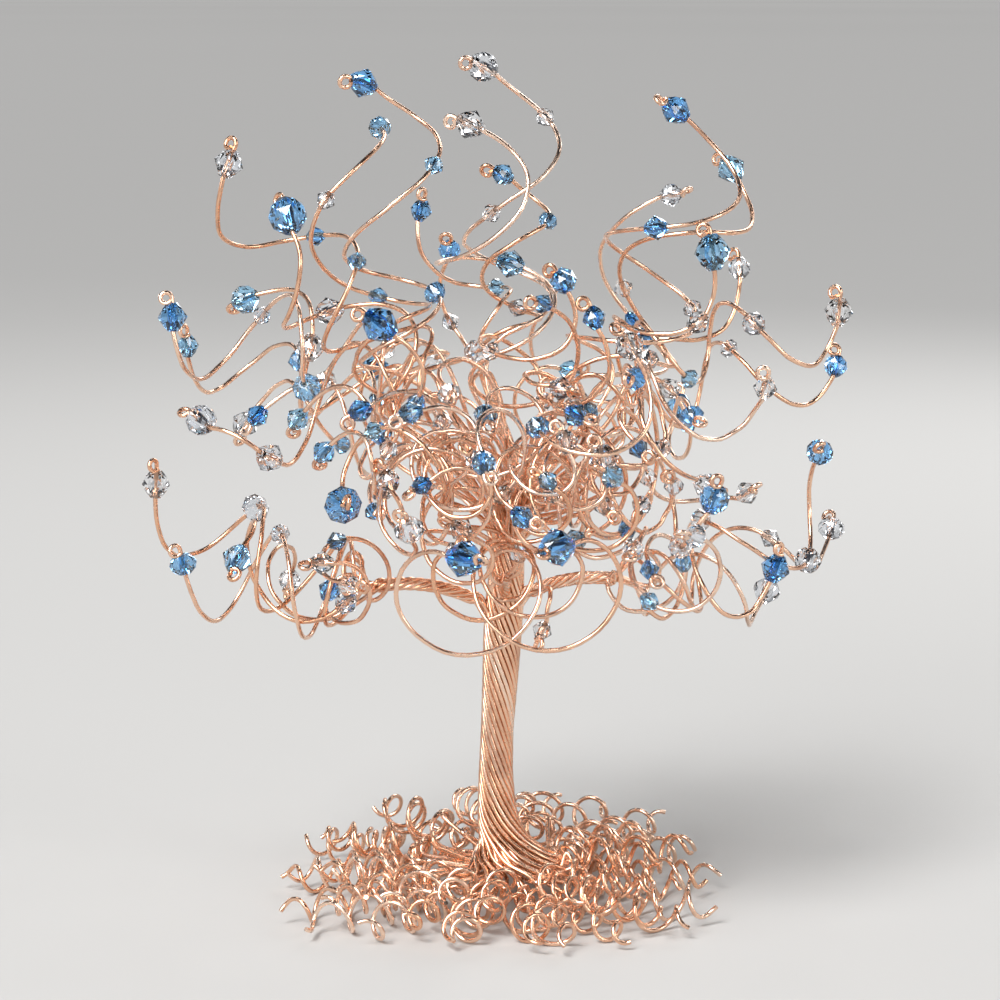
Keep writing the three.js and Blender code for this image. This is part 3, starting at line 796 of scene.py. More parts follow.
@dataclass(frozen=True)
class NestForm:
    """The loops in front of the trunk's top: the middle and half sizes of the round that their tips fill."""

    count: int = 14
    middle: Place = (3, -42, 98)
    spread: Place = (33, 18, 18)
    coil: Range = (6.6, 9.0)
    turns: Range = (1.3, 1.8)
    begins: Range = (0.2, 0.7)
    winds: float = 0.5
    beads: tuple[Bead, ...] = (BLUE_4, CLEAR_4, BLUE_5, CLEAR_5)

    def wires(self, chance: np.random.Generator) -> list[CrownWire]:
        """Spread the tips evenly over the round, the outer ones further back, each from its side's limb.

        Args:
            chance: the seeded source of the wires' differences.

        Returns:
            The wires.
        """
        wires = []
        for k in range(self.count):
            out = math.sqrt((k + 0.5) / self.count)
            turned = GOLDEN_ANGLE * k
            way = np.array([out * math.cos(turned), out * out, out * math.sin(turned)])
            tip = np.array(self.middle) + way * np.array(self.spread)
            limb = FRONT_LIMBS[0] if tip[0] < self.middle[0] else FRONT_LIMBS[1]
            coil = chance.uniform(*self.coil)
            turns = chance.uniform(*self.turns)
            phase = chance.uniform(0, 360)
            begins = chance.uniform(*self.begins)
            last = self.beads[k % len(self.beads)]
            wires.append(CrownWire(limb, "ab"[k % 2], tuple(tip), coil, turns, phase, last, begins=begins,
                                   winds=self.winds))
        return wires


@dataclass(frozen=True)
class Curl:
    """A corkscrew that lies on the floor or on another curl.

    angle is its direction, begin and reach are the distances from the middle of the mat where it begins and
    ends, floor is the height of what it lies on, turned the angle that its winding begins at, coil its radius
    and pitch the length of one turn. opens and closes are the turns over which its coil widens and is wound
    up small again.
    """

    angle: float
    begin: float
    reach: float
    floor: float
    turned: float
    coil: float
    pitch: float
    opens: Range = (-0.6, 0.7)
    closes: float = 0.8
    end_coil: float = 1.3
    clear: float = 0.5

    @property
    def turns(self) -> float:
        """How many turns it has."""
        return (self.reach - self.begin - self.coil) / self.pitch

    def place(self, t: float, shaped: bool = False) -> Vector:
        """Find a point of the curl.

        Args:
            t: share of the curl's length, from the inside outwards.
            shaped: whether it stays clear of the floor and its outer end is wound up small.

        Returns:
            The point.
        """
        out = np.array([math.cos(self.angle), math.sin(self.angle), 0])
        spin = FULL_TURN * self.turns * t + self.turned
        coil = self.coil * smoothstep(t * self.turns, *self.opens)
        middle = self.floor + self.coil
        if shaped:
            closing = smoothstep(t * self.turns, self.turns - self.closes, self.turns)
            coil += (self.end_coil - coil) * closing
        height = coil * math.sin(spin)
        if shaped and height < 0:
            height *= min(1.0, (middle - self.clear) / self.coil)
        p = out * (self.begin + t * (self.reach - self.coil - self.begin))
        across = np.array([-out[1], out[0], 0])
        return p + across * coil * math.cos(spin) + np.array([0, 0, middle + height])

    def run(self, start: Vector, group: str, steps_per_turn: int) -> Run:
        """Return the knots of the curl.

        Args:
            start: where its wire leaves the foot of the trunk.
            group: name of the spray that it belongs to.
            steps_per_turn: how many knots a turn has.

        Returns:
            Its run from the inside outwards.
        """
        steps = math.ceil(self.turns * steps_per_turn)
        knots = [start] + [self.place(t) for t in np.linspace(0, 1, steps + 1)]
        line = np.array([self.place(t, True) for t in np.linspace(0, 1, steps * FINE + 1)])
        return Run(np.array(knots), group, line, lead=1)


@dataclass(frozen=True)
class RootForm:
    """The mat of root curls.

    count curls are in the solids too, in sprays, every second one raised by a layer. mat is the half width
    and depth of the mat, a rounded rectangle of the given power that goes further at the back. The further
    curls have layers of their own, each a height and a share of the mat, and ranges for what differs from
    curl to curl.
    """

    count: int = 18
    per_spray: int = 3
    mat: Range = (50.5, 44)
    mat_back: float = 0.1
    mat_power: int = 3
    coil: float = 3.9
    pitch: float = 9.5
    steps_per_turn: int = 5
    start_radius: float = 10.4
    start_z: float = 9.6
    layer: float = 4.5
    dip: float = 0.7
    begins: Range = (15, 17)
    shares: Range = (1, 0.8)
    sway: Range = (4, 2.7)
    uneven: Range = (0.05, 5.1)
    turned_by: float = 0.9
    more_place: Range = (0.3, 0.5)
    more_begins: Range = (12, 17)
    more_coil: Range = (2.4, 3.9)
    more_pitch: Range = (2.0, 2.6)
    more_reach: Range = (0.93, 1.03)
    more_layers: tuple[Range, ...] = ((0.5, 1.0), (3.0, 0.9), (6.0, 0.76))
    more_rise: float = 5.0
    more_lift: float = 1.0

    def reach(self, angle: float) -> float:
        """Find how far the mat goes.

        Args:
            angle: the direction.

        Returns:
            The distance from its middle.
        """
        x = abs(math.cos(angle)) / self.mat[0]
        y = abs(math.sin(angle)) / self.mat[1]
        rounded = (x ** self.mat_power + y ** self.mat_power) ** (-1 / self.mat_power)
        return (1 + self.mat_back * math.sin(angle)) * rounded

    def angle(self, i: int) -> float:
        """Return the direction of root i."""
        most, step = self.sway
        return math.radians(360 * (i + 0.5) / self.count + most * math.sin(step * i))

    def run(self, i: int, trunk: TrunkForm) -> Run:
        """Wind root i, one of those that the solids have.

        Args:
            i: its place round the trunk.
            trunk: the trunk that it leaves.

        Returns:
            Its knots from the foot of the trunk outwards.
        """
        spray = i // self.per_spray
        raised = i % 2
        leaves = math.radians(360 * (spray + 0.5) * self.per_spray / self.count)
        most, step = self.uneven
        reach = self.reach(self.angle(i)) * self.shares[raised] * (1 + most * math.sin(step * i))
        start = np.array([trunk.lean(self.start_z), 0, self.start_z])
        start[:2] += self.start_radius * np.array([math.cos(leaves), math.sin(leaves)])
        floor = SPACING.lowest - self.dip + raised * self.layer
        turned = self.turned_by * i
        curl = Curl(self.angle(i), self.begins[raised], reach, floor, turned, self.coil, self.pitch)
        return curl.run(start, f"root_curls_{spray + 1}", self.steps_per_turn)

    def more(self, count: int, chance: np.random.Generator) -> list[Run]:
        """Wind the further curls between and over those of the solids.

        Args:
            count: how many there are.
            chance: the seeded source of their differences.

        Returns:
            Their runs.
        """
        runs = []
        shift, spread = self.more_place
        for i in range(count):
            angle = FULL_TURN * (i + shift + spread * chance.random()) / count
            coil = chance.uniform(*self.more_coil)
            layer = i % len(self.more_layers)
            floor, share = self.more_layers[layer]
            if layer:
                floor += self.more_rise * max(0.0, math.sin(angle))
            reach = self.reach(angle) * share * chance.uniform(*self.more_reach)
            begin = chance.uniform(*self.more_begins)
            turned = chance.uniform(0, FULL_TURN)
            pitch = coil * chance.uniform(*self.more_pitch)
            curl = Curl(angle, begin, reach, floor, turned, coil, pitch)
            start = curl.place(0) + [0, 0, self.more_lift]
            runs.append(curl.run(start, f"more_curls_{i}", self.steps_per_turn))
        return runs


@dataclass(frozen=True)
class Threaded:
    """A bead on its wire: what it is, where its middle is and which way its hole points."""

    bead: Bead
    at: Vector
    heading: Vector


@dataclass
class Winding:
    """Winds every wire of the tree, from its root curl if it has one, through trunk and limb to its tip."""

    trunk: TrunkForm = field(default_factory=TrunkForm)
    crown: CrownForm = field(default_factory=CrownForm)
    roots: RootForm = field(default_factory=RootForm)
    nest: NestForm = field(default_factory=NestForm)
    rooted: int = 57
    curl_knot: int = 3
    eye: float = 1.15
    eye_lead: float = 0.7
    eye_turn: float = 325.0
    eye_swing: float = 60.0
    eye_points: int = 15
    eye_pitch: float = 1.05
    wobble: float = 0.16
    wobble_fade: float = 5.0
    rope_most: float = 1.2
    rope_start: float = 0.2
    rope_knots: float = 0.4
    rope_least: int = 5
    rope_aim: int = 4
    paths: list[WirePath] = field(default_factory=list)
    beads: list[Threaded] = field(default_factory=list)

    def wind(self) -> None:
        """Fill paths and beads."""
        chance = np.random.default_rng(SEED)
        rows = [*CROWN, *FILLING, *self.nest.wires(chance)]
        runs = self._crown_runs(rows)
        roots = self._root_runs(chance)
        strands = self._strands(rows)
        tops = self._tops(rows)
        links = self._ropes(rows, runs)
        links.update(self._fans(rows, runs, strands, tops))
        curls = self._match(strands[:len(roots)], roots)
        for k, (row, run, strand) in enumerate(zip(rows, runs, strands)):
            curl = curls[k] if k < len(curls) else None
            low = self.trunk.folded if curl is None else self.trunk.foot
            heights = np.arange(low, tops[k] - self.trunk.step / 2, self.trunk.step)
            stem = [self.trunk.strand(*strand, z) for z in heights]
            joins = self.crown.roped_knot if LIMBS[row.limb].roped else self.crown.fanned_knot
            coil = self._by_hand(run.fine(joins, run.tip_knot), chance)
            lower, foot = self._rise(curl, strand, [*stem, *links[k], coil[0], coil[FINE]])
            eye = self._eye(run, chance)
            points = np.concatenate([lower, coil[1:], run.knots[run.tip_knot + 1:][:1], eye])
            points[:, 2] = np.maximum(points[:, 2], WIRE_RADIUS)
            limb_end = foot + (len(stem) + len(links[k]) - 1) * FINE
            self.paths.append(WirePath(points, foot, limb_end, row.limb, float(chance.random())))
        self.beads = self._uncrowded(runs)

    def _rise(self, curl: Optional[Run], strand: Strand, upper: Sequence[Vector]) -> tuple[Vector, int]:
        """Lead a wire up to its corkscrew.

        Args:
            curl: the root curl that it begins in, if any.
            strand: its place in the trunk.
            upper: its knots from the foot of the trunk on, the last two of them in the corkscrew.

        Returns:
            Its points up to the corkscrew, and which of them is at the foot of the trunk.
        """
        if curl is None:
            return flow(np.array(upper), FINE)[:-FINE], 0
        outer = curl.fine(self.curl_knot, len(curl.knots) - 1)[::-1]
        inner = curl.knots[self.curl_knot - 1:0:-1]
        lower = [outer[-1 - FINE], outer[-1], *inner, *self.trunk.swirl(*strand)]
        body = flow(np.array([*lower, *upper]), FINE)[FINE:-FINE]
        return np.concatenate([outer[:-1], body]), len(outer) - 1 + (len(lower) - 1) * FINE

    def _by_hand(self, points: Vector, chance: np.random.Generator) -> Vector:
        """Give a stretch of wire the slight kinks of bending by hand, with its ends where they were.

        Args:
            points: the points of the stretch.
            chance: the seeded source of the kinks.

        Returns:
            The moved points.
        """
        kinks = chance.normal(0, self.wobble, points.shape)
        for _ in range(2):
            kinks = soften(kinks, "constant")
        place = np.arange(len(points))
        return points + kinks * np.clip(np.minimum(place, place[::-1]) / self.wobble_fade, 0, 1)[:, None]

    def _crown_runs(self, rows: Sequence[CrownWire]) -> list[Run]:
        """Wind the crown: first the wires of the solids as there, then the filling between them.

        Args:
            rows: the sizes of all wires.

        Returns:
            Their corkscrews.
        """
        runs = [self.crown.run(row, self.trunk.bow(LIMBS[row.limb])) for row in rows]
        SPACING.part_in_turn(runs[:len(CROWN)], runs[len(CROWN):], self.trunk.still_runs())
        return runs

    def _root_runs(self, chance: np.random.Generator) -> list[Run]:
        """Wind the root curls: first those of the solids as there, then further ones between them.

        Args:
            chance: the seeded source of the further curls' differences.

        Returns:
            Their runs.
        """
        solid = [self.roots.run(i, self.trunk) for i in range(self.roots.count)]
        more = self.roots.more(self.rooted - len(solid), chance)
        SPACING.part_in_turn(solid, more, self.trunk.still_runs()[-1:])
        return [*solid, *more]

    def _strands(self, rows: Sequence[CrownWire]) -> list[Strand]:
        """Lay the wires in the trunk, those of the highest limbs outermost, each towards its limb's side.

        Args:
            rows: the sizes of all wires.

        Returns:
            The share of the radius and the angle at height 0 for each.
        """
        order = sorted(range(len(rows)), key=lambda k: (k >= self.rooted, -LIMBS[rows[k].limb].leaves))
        strands = [(0.0, 0.0)] * len(rows)
        for count, share in self.trunk.layers:
            layer, order = order[:count], order[count:]
            wanted = []
            for k in layer:
                limb = LIMBS[rows[k].limb]
                towards = math.atan2(limb.end[1], limb.end[0] - self.trunk.lean(limb.leaves))
                wanted.append(towards - self.trunk.twist * limb.leaves)
            for k, angle in zip(layer, deal(wanted)):
                strands[k] = (share, angle)
        return strands

    def _tops(self, rows: Sequence[CrownWire]) -> list[float]:
        """Find where each wire leaves the trunk: those that fan out leave one below the other.

        Args:
            rows: the sizes of all wires.

        Returns:
            The height for each.
        """
        tops = []
        seen = {name: 0 for name in LIMBS}
        for row in rows:
            limb = LIMBS[row.limb]
            members = sum(other.limb == row.limb for other in rows)
            drop = 0 if limb.roped else self.trunk.fan_drop * seen[row.limb] / members
            seen[row.limb] += 1
            tops.append(limb.leaves - self.trunk.leave - drop)
        return tops

    def _fans(self, rows: Sequence[CrownWire], runs: Sequence[Run], strands: Sequence[Strand],
              tops: Sequence[float]) -> dict[int, Vector]:
        """Bend the wires that fan out from the trunk to their corkscrews, clear of each other.

        Args:
            rows: the sizes of all wires.
            runs: their corkscrews.
            strands: their places in the trunk.
            tops: the heights where they leave it.

        Returns:
            The knots from the trunk to the corkscrew, by wire.
        """
        knot = self.crown.fanned_knot
        fans = {}
        roped = []
        for k, (row, run) in enumerate(zip(rows, runs)):
            if LIMBS[row.limb].roped:
                run.still = True
                roped.append(run)
                continue
            begin = self.trunk.strand(*strands[k], tops[k])
            out = self.trunk.heading(*strands[k], tops[k])
            into = unit(run.knots[knot + 1] - run.knots[knot - 1])
            fans[k] = run.after(knot, bridge(begin, out, run.knots[knot], into, self.trunk.fan_step))
        SPACING.part([*fans.values(), *roped])
        return {k: fan.knots[:fan.held] for k, fan in fans.items()}

    def _ropes(self, rows: Sequence[CrownWire], runs: Sequence[Run]) -> dict[int, Vector]:
        """Lay the wires of each roped limb round its middle line, each towards the side where it goes on.

        Args:
            rows: the sizes of all wires.
            runs: their corkscrews.

        Returns:
            The knots along the limb, by wire.
        """
        ropes = {}
        for name, limb in LIMBS.items():
            if not limb.roped:
                continue
            members = [k for k, row in enumerate(rows) if row.limb == name]
            bow = self.trunk.bow(limb)
            length = float(np.linalg.norm(bow.end - bow.start))
            across = square_to(bow.along(1))
            over = np.cross(bow.along(1), across)
            ways = [runs[k].knots[self.rope_aim] - bow.end for k in members]
            wanted = [math.atan2(float(way @ over), float(way @ across)) for way in ways]
            offset = min(WIRE_RADIUS / math.sin(math.pi / max(len(members), 2)), self.rope_most)
            shares = np.linspace(self.rope_start, 1, max(self.rope_least, round(self.rope_knots * length)))
            for k, angle in zip(members, deal(wanted)):
                rope = []
                for s in shares:
                    along = bow.along(s)
                    sideways = square_to(along)
                    a = angle + self.trunk.limb_twist * length * (s - 1)
                    beside = sideways * math.cos(a) + np.cross(along, sideways) * math.sin(a)
                    rope.append(bow.at(s) + offset * beside)
                ropes[k] = np.array(rope)
        return ropes

    def _match(self, strands: Sequence[Strand], roots: Sequence[Run]) -> list[Run]:
        """Pair each wire in the trunk with the root curl on its own side.

        Args:
            strands: the wires' places in the trunk.
            roots: as many root curls.

        Returns:
            The curl of each wire.
        """
        turned = self.trunk.twist * self.trunk.foot
        stand = [(angle + turned + self.trunk.swirl_turn) % FULL_TURN for _, angle in strands]
        lie = [math.atan2(*run.knots[1:, 1::-1].mean(axis=0)) % FULL_TURN for run in roots]
        wires = sorted(range(len(stand)), key=lambda k: stand[k])
        curls = sorted(range(len(lie)), key=lambda k: lie[k])

        def strain(shift: int) -> float:
            """Return how far all pairs lie apart when the curls are taken from a later one on."""
            pairs = ((w, curls[(place + shift) % len(curls)]) for place, w in enumerate(wires))
            return sum(1 - math.cos(stand[w] - lie[c]) for w, c in pairs)

        best = min(range(len(curls)), key=strain)
        paired = list(roots)
        for place, w in enumerate(wires):
            paired[w] = roots[curls[(place + best) % len(curls)]]
        return paired

    def _eye(self, run: Run, chance: np.random.Generator) -> Vector:
        """Turn the eye that holds the last bead.

        Args:
            run: the wire that ends in the eye.
            chance: the seeded source of how far the eye is turned out of the front view.

        Returns:
            The points.
        """
        heading = run.heading
        swing = math.radians(chance.uniform(-self.eye_swing, self.eye_swing))
        level = unit(np.cross(heading, [0, 1, 0]))
        bend = level * math.cos(swing) + np.cross(heading, level) * math.sin(swing)
        side = np.cross(heading, bend)
        start = run.knots[-2] + heading * self.eye_lead
        angles = np.radians(np.linspace(0, self.eye_turn, self.eye_points))[:, None]
        circle = self.eye * (heading * np.sin(angles) + bend * (1 - np.cos(angles)))
        return start + circle + side * angles / FULL_TURN * self.eye_pitch

    def _uncrowded(self, runs: Sequence[Run]) -> list[Threaded]:
        """Thread all beads, without small ones that would touch a bead already there.

        Args:
            runs: the corkscrews.

        Returns:
            The beads.
        """
        held, spare = [], []
        for run in runs:
            first, *others = self._thread(run)
            held.append(first)
            for threaded in others:
                (held if threaded.bead.size >= self.crown.fused_size else spare).append(threaded)
        for new in spare:
            sizes = [(new.bead.size + other.bead.size) / 2 for other in held]
            room = [np.linalg.norm(new.at - other.at) - size for other, size in zip(held, sizes)]
            if min(room) > 0:
                held.append(new)
        return held

    @staticmethod
    def _thread(run: Run) -> list[Threaded]:
        """Set the beads of one wire on it, those further in midway between the wire's bend and its chord.

        Args:
            run: the wire.

        Returns:
            The bead at its tip and then the others.
        """
        fine = run.fine(0, run.tip_knot)
        places = [(float(knot), bead) for knot, bead in run.beads] + run.small
        tip = (run.knots[run.tip_knot] + run.knots[run.tip_knot + 1]) / 2
        threaded = [Threaded(run.last, tip, run.heading)]
        for knot, bead in places:
            i = min(round(knot * FINE), len(fine) - 2)
            step = float(np.linalg.norm(fine[i + 1] - fine[i - 1])) / 2
            bent = (fine[i + 1] + fine[i - 1] - 2 * fine[i]) / step ** 2
            heading = unit(fine[i + 1] - fine[i - 1])
            threaded.append(Threaded(bead, fine[i] + bent * bead.half ** 2 / 4, heading))
        return threaded


def linear(red: int, green: int, blue: int) -> tuple[float, float, float, float]:
    """Return a screen colour as the linear colour that a shader takes."""
    parts = [c / 255 for c in (red, green, blue)]
    return tuple(c / 12.92 if c <= 0.04045 else ((c + 0.055) / 1.055) ** 2.4 for c in parts) + (1.0,)


@dataclass
class NodeWork:
    """The nodes of one tree, with short ways to add and link them."""

    name: str
    tree: bpy.types.NodeTree = field(init=False)

    def add(self, kind: str, settings: Optional[Settings] = None, **values: object) -> bpy.types.Node:
        """Add a node.

        Args:
            kind: its type.
            settings: what its own options are set to.
            values: what its inputs of the same name are set to, or linked to where the value is a socket.

        Returns:
            The node.
        """
        node = self.tree.nodes.new(kind)
        for key, value in (settings or {}).items():
            setattr(node, key, value)
        for key, value in values.items():
            self.feed(node.inputs[key.replace("_", " ")], value)
        return node

    def feed(self, socket: bpy.types.NodeSocket, value: object) -> None:
        """Set an input to a value, or link it to an output.

        Args:
            socket: the input.
            value: the value or the output.
        """
        if isinstance(value, bpy.types.NodeSocket):
            self.tree.links.new(value, socket)
        else:
            socket.default_value = value


@dataclass
class ShaderGraph(NodeWork):
    """A material's nodes."""

    material: bpy.types.Material = field(init=False)
    shader: bpy.types.ShaderNode = field(init=False)

    def __post_init__(self) -> None:
        """Make the material with its surface shader."""
        self.material = bpy.data.materials.new(self.name)
        self.material.use_nodes = True
        self.tree = self.material.node_tree
        self.shader = self.tree.nodes["Principled BSDF"]

    def surface(self, name: str, value: object) -> None:
        """Set or link an input of the surface shader."""
        self.feed(self.shader.inputs[name], value)

    def noise(self, scale: float, detail: float = 2.0) -> bpy.types.NodeSocket:
        """Return a noise of the given fineness per metre at the place on the object."""
        places = self.add("ShaderNodeTexCoord").outputs["Object"]
        return self.add("ShaderNodeTexNoise", Vector=places, Scale=scale, Detail=detail).outputs["Fac"]

    def attribute(self, name: str) -> bpy.types.NodeSocket:
        """Return a number stored on the mesh."""
        return self.add("ShaderNodeAttribute", {"attribute_name": name}).outputs["Fac"]

    def between(self, factor: bpy.types.NodeSocket, first: object, second: object) -> bpy.types.NodeSocket:
        """Mix two colours.

        Args:
            factor: how much of the second there is.
            first: the first colour.
            second: the second colour.

        Returns:
            The colour between them.
        """
        node = self.add("ShaderNodeMix", {"data_type": "RGBA"})
        sockets = [s for s in node.inputs if s.enabled]
        for socket, value in zip(sockets, (factor, first, second)):
            self.feed(socket, value)
        return next(s for s in node.outputs if s.enabled)

    def spread(self, factor: bpy.types.NodeSocket, low: float, high: float, start: float = 0.35,
               end: float = 0.65) -> bpy.types.NodeSocket:
        """Stretch the middle of a noise to a range.

        Args:
            factor: the noise.
            low: lower end of the range.
            high: upper end of the range.
            start: value of the noise at the lower end.
            end: value of the noise at the upper end.

        Returns:
            The stretched number.
        """
        node = self.add("ShaderNodeMapRange", From_Min=start, From_Max=end, To_Min=low, To_Max=high)
        self.feed(node.inputs["Value"], factor)
        return node.outputs["Result"]


@dataclass(frozen=True)
class CopperFinish:
    """Bright drawn copper wire: its tones, where it has aged, how smooth it is and its fine drawing marks."""

    name: str = "bright_copper_wire"
    pale: Colour = (254, 223, 200)
    warm: Colour = (242, 190, 155)
    aged: Colour = (165, 98, 68)
    aged_most: float = 0.55
    aged_noise: Range = (0.48, 0.75)
    patch: float = 160.0
    patch_detail: float = 4.0
    roughness: Range = (0.16, 0.3)
    sheen: float = 400.0
    sheen_detail: float = 3.0
    marks: float = 5200.0
    mark_strength: float = 0.06
    mark_depth: float = 0.00005

    def material(self) -> bpy.types.Material:
        """Make the material.

        Returns:
            The material.
        """
        graph = ShaderGraph(self.name)
        tone = graph.between(graph.attribute("tone"), linear(*self.pale), linear(*self.warm))
        patches = graph.noise(self.patch, self.patch_detail)
        stain = graph.spread(patches, 0.0, self.aged_most, *self.aged_noise)
        graph.surface("Base Color", graph.between(stain, tone, linear(*self.aged)))
        sheen = graph.noise(self.sheen, self.sheen_detail)
        graph.surface("Roughness", graph.spread(sheen, *self.roughness))
        bump = graph.add("ShaderNodeBump", Height=graph.noise(self.marks), Strength=self.mark_strength,
                         Distance=self.mark_depth)
        graph.surface("Normal", bump.outputs["Normal"])
        graph.surface("Metallic", 1.0)
        return graph.material


@dataclass(frozen=True)
class CrystalFinish:
    """Cut crystal of one tint, lighter in some beads than in others and slightly clouded."""

    tint: Tint
    light: Colour
    deep: Colour
    ior: float = 1.58
    clouds: float = 420.0
    cloud_most: float = 0.25
    polish: float = 900.0
    roughness: Range = (0.0, 0.03)

    def material(self) -> bpy.types.Material:
        """Make the material.

        Returns:
            The material.
        """
        graph = ShaderGraph(f"{self.tint.value}_cut_crystal")
        colour = graph.between(graph.attribute("shade"), linear(*self.light), linear(*self.deep))
        cloud = graph.spread(graph.noise(self.clouds), 0.0, self.cloud_most)
        graph.surface("Base Color", graph.between(cloud, colour, linear(*self.light)))
        graph.surface("Roughness", graph.spread(graph.noise(self.polish), *self.roughness))
        graph.surface("Transmission Weight", 1.0)
        graph.surface("IOR", self.ior)
        return graph.material


COPPER = CopperFinish()
CRYSTALS = {
    Tint.BLUE: CrystalFinish(Tint.BLUE, (176, 224, 255), (92, 176, 255)),
    Tint.CLEAR: CrystalFinish(Tint.CLEAR, (255, 255, 255), (240, 245, 252)),
}


@dataclass
class ShapeTree(NodeWork):
    """A Geometry Nodes tree, with the identifiers of its inputs by name."""

    sizes: dict[str, str] = field(default_factory=dict)

    def __post_init__(self) -> None:
        """Make the tree with a mesh going in and a mesh coming out."""
        self.tree = bpy.data.node_groups.new(self.name, "GeometryNodeTree")
        for way in ("INPUT", "OUTPUT"):
            self.tree.interface.new_socket("Geometry", in_out=way, socket_type="NodeSocketGeometry")

    def size(self, name: str, kind: str = "NodeSocketFloat") -> None:
        """Add a named input."""
        socket = self.tree.interface.new_socket(name, in_out="INPUT", socket_type=kind)
        self.sizes[name] = socket.identifier

    def named(self, name: str, kind: str) -> bpy.types.NodeSocket:
        """Return a value stored on the points."""
        node = self.add("GeometryNodeInputNamedAttribute", {"data_type": kind}, Name=name)
        return node.outputs["Attribute"]

    def close(self, shape: bpy.types.NodeSocket, material: bpy.types.Material) -> None:
        """Make the instances real, give them their material and send them out.

        Args:
            shape: what the tree has made.
            material: its finish.
        """
        real = self.add("GeometryNodeRealizeInstances", Geometry=shape).outputs["Geometry"]
        done = self.add("GeometryNodeSetMaterial", Geometry=real, Material=material).outputs["Geometry"]
        self.add("NodeGroupOutput", Geometry=done)

    def make_plain(self, piece: bpy.types.Object, values: Settings) -> None:
        """Run the tree on an object and keep the result as its plain mesh.

        Args:
            piece: the object, whose mesh holds what the tree starts from.
            values: value of each input by its name.
        """
        modifier = piece.modifiers.new(self.name, "NODES")
        modifier.node_group = self.tree
        for name, value in values.items():
            modifier[self.sizes[name]] = value
        depsgraph = bpy.context.evaluated_depsgraph_get()
        mesh = bpy.data.meshes.new_from_object(piece.evaluated_get(depsgraph), depsgraph=depsgraph)
        piece.modifiers.remove(modifier)
        mesh.name = piece.name
        piece.data = mesh


def new_object(name: str, data: bpy.types.ID) -> bpy.types.Object:
    """Put a mesh, a light or a camera into the scene as an object at the origin.

    Args:
        name: name of the object.
        data: what it shows.

    Returns:
        The object.
    """
    made = bpy.data.objects.new(name, data)
    bpy.context.scene.collection.objects.link(made)
    return made


def wire_sweep(material: bpy.types.Material) -> ShapeTree:
    """Make the node tree that sweeps a round wire along its middle line.

    Args:
        material: the wire's finish.

    Returns:
        The tree.
    """
    tree = ShapeTree("wire_sweep")
    tree.size("Wire Radius")
    tree.size("Sides", "NodeSocketInt")
    given = tree.add("NodeGroupInput").outputs
    line = tree.add("GeometryNodeMeshToCurve", Mesh=given["Geometry"]).outputs["Curve"]
    section = tree.add("GeometryNodeCurvePrimitiveCircle", Resolution=given["Sides"],
                       Radius=given["Wire Radius"])
    swept = tree.add("GeometryNodeCurveToMesh", Curve=line, Profile_Curve=section.outputs["Curve"],
                     Fill_Caps=True)
    smooth = tree.add("GeometryNodeSetShadeSmooth", Geometry=swept.outputs["Mesh"])
    tree.close(smooth.outputs["Geometry"], material)
    return tree


def bead_threading(material: bpy.types.Material) -> ShapeTree:
    """Make the node tree that sets a bead on each point with its hole along the wire.

    Args:
        material: the crystal's finish.

    Returns:
        The tree.
    """
    tree = ShapeTree("bead_threading")
    tree.size("Bead", "NodeSocketObject")
    tree.size("Size")
    given = tree.add("NodeGroupInput").outputs
    bead = tree.add("GeometryNodeObjectInfo", Object=given["Bead"]).outputs["Geometry"]
    heading = tree.named("heading", "FLOAT_VECTOR")
    aligned = tree.add("FunctionNodeAlignRotationToVector", {"axis": "Z"}, Vector=heading)
    turn = tree.add("FunctionNodeAxisAngleToRotation", Axis=(0, 0, 1), Angle=tree.named("turned", "FLOAT"))
    rotation = tree.add("FunctionNodeRotateRotation", {"rotation_space": "LOCAL"},
                        Rotation=aligned.outputs["Rotation"], Rotate_By=turn.outputs["Rotation"])
    width = tree.add("ShaderNodeMath", {"operation": "MULTIPLY"})
    tree.feed(width.inputs[0], tree.named("width", "FLOAT"))
    tree.feed(width.inputs[1], given["Size"])
    threaded = tree.add("GeometryNodeInstanceOnPoints", Points=given["Geometry"], Instance=bead,
                        Rotation=rotation.outputs["Rotation"], Scale=width.outputs["Value"])
    tree.close(threaded.outputs["Instances"], material)
    return tree


@dataclass
class WireWork:
    """Stretches of wire that make one piece: a wire's thickness is swept along each."""

    name: str
    stretches: list[tuple[Vector, float]]
    stands_for: list[str]
    radius: float = WIRE_RADIUS
    sides: int = 8
    piece: Optional[bpy.types.Object] = None

    def build(self, tree: ShapeTree) -> None:
        """Make the wires from their middle lines.

        Args:
            tree: the node tree that sweeps a wire.
        """
        base = 0
        edges = []
        for points, _ in self.stretches:
            edges += [(base + i, base + i + 1) for i in range(len(points) - 1)]
            base += len(points)
        mesh = bpy.data.meshes.new(self.name)
        corners = np.concatenate([points for points, _ in self.stretches]) * MM
        mesh.from_pydata(corners.tolist(), edges, [])
        tones = np.concatenate([np.full(len(points), tone) for points, tone in self.stretches])
        mesh.attributes.new("tone", "FLOAT", "POINT").data.foreach_set("value", tones.astype(np.float32))
        self.piece = new_object(self.name, mesh)
        tree.make_plain(self.piece, {"Wire Radius": self.radius * MM, "Sides": self.sides})

    def dress(self) -> None:
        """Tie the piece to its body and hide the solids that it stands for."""
        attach(self.piece, BODY)
        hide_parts(*self.stands_for)


